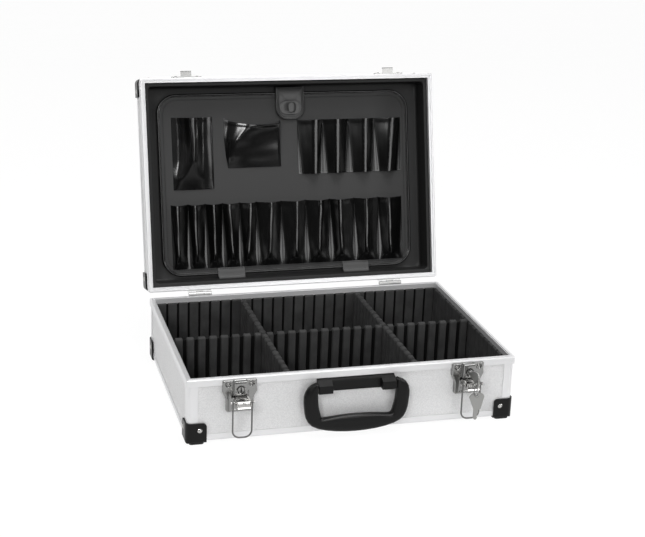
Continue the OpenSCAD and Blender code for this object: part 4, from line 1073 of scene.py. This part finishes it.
wire = along(at_z(bail_path() + [0, BAIL_UP], BAIL_OUT), ring_of(WIRE_R, 12), (0, 0, 1))
disc = rounded_rect(EYE_R, EYE_R, EYE_R, 8, (BAIL_OUT, BAIL_UP))
eyes = [from_side(slab(disc, at - EYE_T / 2, at + EYE_T / 2, 0.6)) for at in (-BAIL_HALF, BAIL_HALF)]
latch_pair("wire_bail", merged([wire] + eyes), wire_steel, "wire_{}", "bail")
print("bail", len(wire[1]), "faces of wire")

# %% [markdown]
# ## Soft edges on the hard nodes
#
# Pressed and moulded parts have no truly sharp edge, and a soft one catches a
# thin line of light. The nodes that keep their CAD shape get a small bevel as a
# modifier, so their mesh stays as it is.

# %% Bevels
SOFT = {"base_corner_guards": 1.2, "lid_corner_guards": 1.2, "handle_bracket": 0.8, "keepers": 0.3,
        "hinge_base_leaves": 0.25, "hinge_lid_leaves": 0.25, "base_rim_frame": 0.35, "lid_rim_frame": 0.35,
        "lid_edge_frame": 0.8, "base_floor_frame": 0.8, "turn_button": 0.5, "button_plate": 0.3,
        "lock_cylinder_left": 0.2, "lock_cylinder_right": 0.2, "spare_key": 0.3, "key_in_lock": 0.3}
for name, width in SOFT.items():
    soften = nodes[name].modifiers.new("soft edge", "BEVEL")
    soften.width, soften.segments = width * MM, 2
    soften.limit_method, soften.angle_limit = "ANGLE", math.radians(40)
print(len(SOFT), "nodes softened")

# %% [markdown]
# ## Floor, light and finish
#
# The case stands on a white paper sweep, lit like a product photograph: soft
# lights above, left and right, and one low in front that the open lid mirrors
# to the camera, so that what lies flat on the tool panel looks pale. The room is
# bright overhead and behind the case and dim behind the camera, so metal and
# gloss leather have something dark to mirror. The camera sees plain white, and
# so do mirror rays that go on behind the case. The sweep ends 0.55 m in front,
# so that leather which looks down mirrors the dim room.

# %% Pale floor
LOW = cad_box[0][2]
FRONT_EDGE, HALF_SWEEP, BEND, TOP = -0.55, 6.0, 1.5, 5.0
SEEN_SHARE = 0.9


def seen_straight(tree, path):
    """1 for rays that come from the camera or through glass, or else 0."""
    return calc(tree, "MAXIMUM", (path, "Is Camera Ray"), (path, "Is Transmission Ray"))


angle = np.linspace(0, math.pi / 2, 25)
rise = np.stack([2.5 + BEND * np.sin(angle), BEND - BEND * np.cos(angle)], 1)
profile = np.concatenate([[[FRONT_EDGE, 0.0]], rise, [[2.5 + BEND, TOP]]])
verts, quads = grid(np.array([[[x, y, LOW + z] for y, z in profile] for x in (-HALF_SWEEP, HALF_SWEEP)]))
mesh = bpy.data.meshes.new("floor")
mesh.from_pydata(verts.tolist(), [], quads)
floor = put("floor", mesh)
backdrop, tree, shader = start_material("white paper sweep", "F4F4F4", 0.9)
seen = add(tree, "ShaderNodeEmission", {"Color": linear("FFFFFF"), "Strength": 1.03})
path = add(tree, "ShaderNodeLightPath")
watched = calc(tree, "MAXIMUM", seen_straight(tree, path), (path, "Is Glossy Ray"))
share = calc(tree, "MULTIPLY", watched, SEEN_SHARE)
mixed = add(tree, "ShaderNodeMixShader", {"Fac": share, 1: (shader, "BSDF"), 2: (seen, "Emission")})
tree.links.new(mixed.outputs[0], tree.nodes["Material Output"].inputs["Surface"])
paint(floor, backdrop)
print("sweep", len(quads), "faces")

# %% Lights
# Each light: its place, its side in metres, its power in watts, what it faces.
LIGHTS = {
    "top light": ((0.1, -0.3, 2.4), 1.4, 30, (0, 0, 0.15)),
    "key light": ((-1.5, -2.4, 1.7), 0.7, 36, (0, 0, 0.15)),
    "right light": ((2.2, -0.9, 0.9), 0.5, 10, (0, 0, 0.15)),
    "panel light": ((0.7, -2.4, 0.75), 1.0, 14, (0, 0.2, 0.25)),
}
for name, (stand, size, power, aim) in LIGHTS.items():
    data = bpy.data.lights.new(name, "AREA")
    data.shape, data.size, data.energy = "SQUARE", size, power
    lamp = put(name, data)
    facing = (Vector(stand) - Vector(aim)).to_track_quat("Z", "Y").to_matrix().to_4x4()
    lamp.matrix_world = Matrix.Translation(stand) @ facing
print(len(LIGHTS), "lights")

# %% The room
world = bpy.data.worlds.new("studio")
bpy.context.scene.world = world
world.use_nodes = True
sky = world.node_tree
sky.nodes.clear()
direction = add(sky, "ShaderNodeTexCoord")
axes = add(sky, "ShaderNodeSeparateXYZ", {"Vector": (direction, "Generated")})
overhead = remap(sky, (axes, "Z"), 0.1, 0.95, 0.04, 0.6)
behind = remap(sky, (axes, "Y"), 0.0, 0.6, 0.0, 0.35)
room, white = [add(sky, "ShaderNodeBackground", {"Color": linear("FFFFFF"), "Strength": strength})
               for strength in (calc(sky, "ADD", overhead, behind), 1.0)]
path = add(sky, "ShaderNodeLightPath")
mirrored = calc(sky, "MULTIPLY", (path, "Is Glossy Ray"), remap(sky, (axes, "Y"), 0.0, 0.3))
either = calc(sky, "MAXIMUM", seen_straight(sky, path), mirrored)
seen_by = add(sky, "ShaderNodeMixShader", {"Fac": either, 1: (room, 0), 2: (white, 0)})
add(sky, "ShaderNodeOutputWorld", {"Surface": (seen_by, 0)})
bpy.context.scene.view_settings.view_transform = "Standard"
print("world", len(sky.nodes), "nodes")
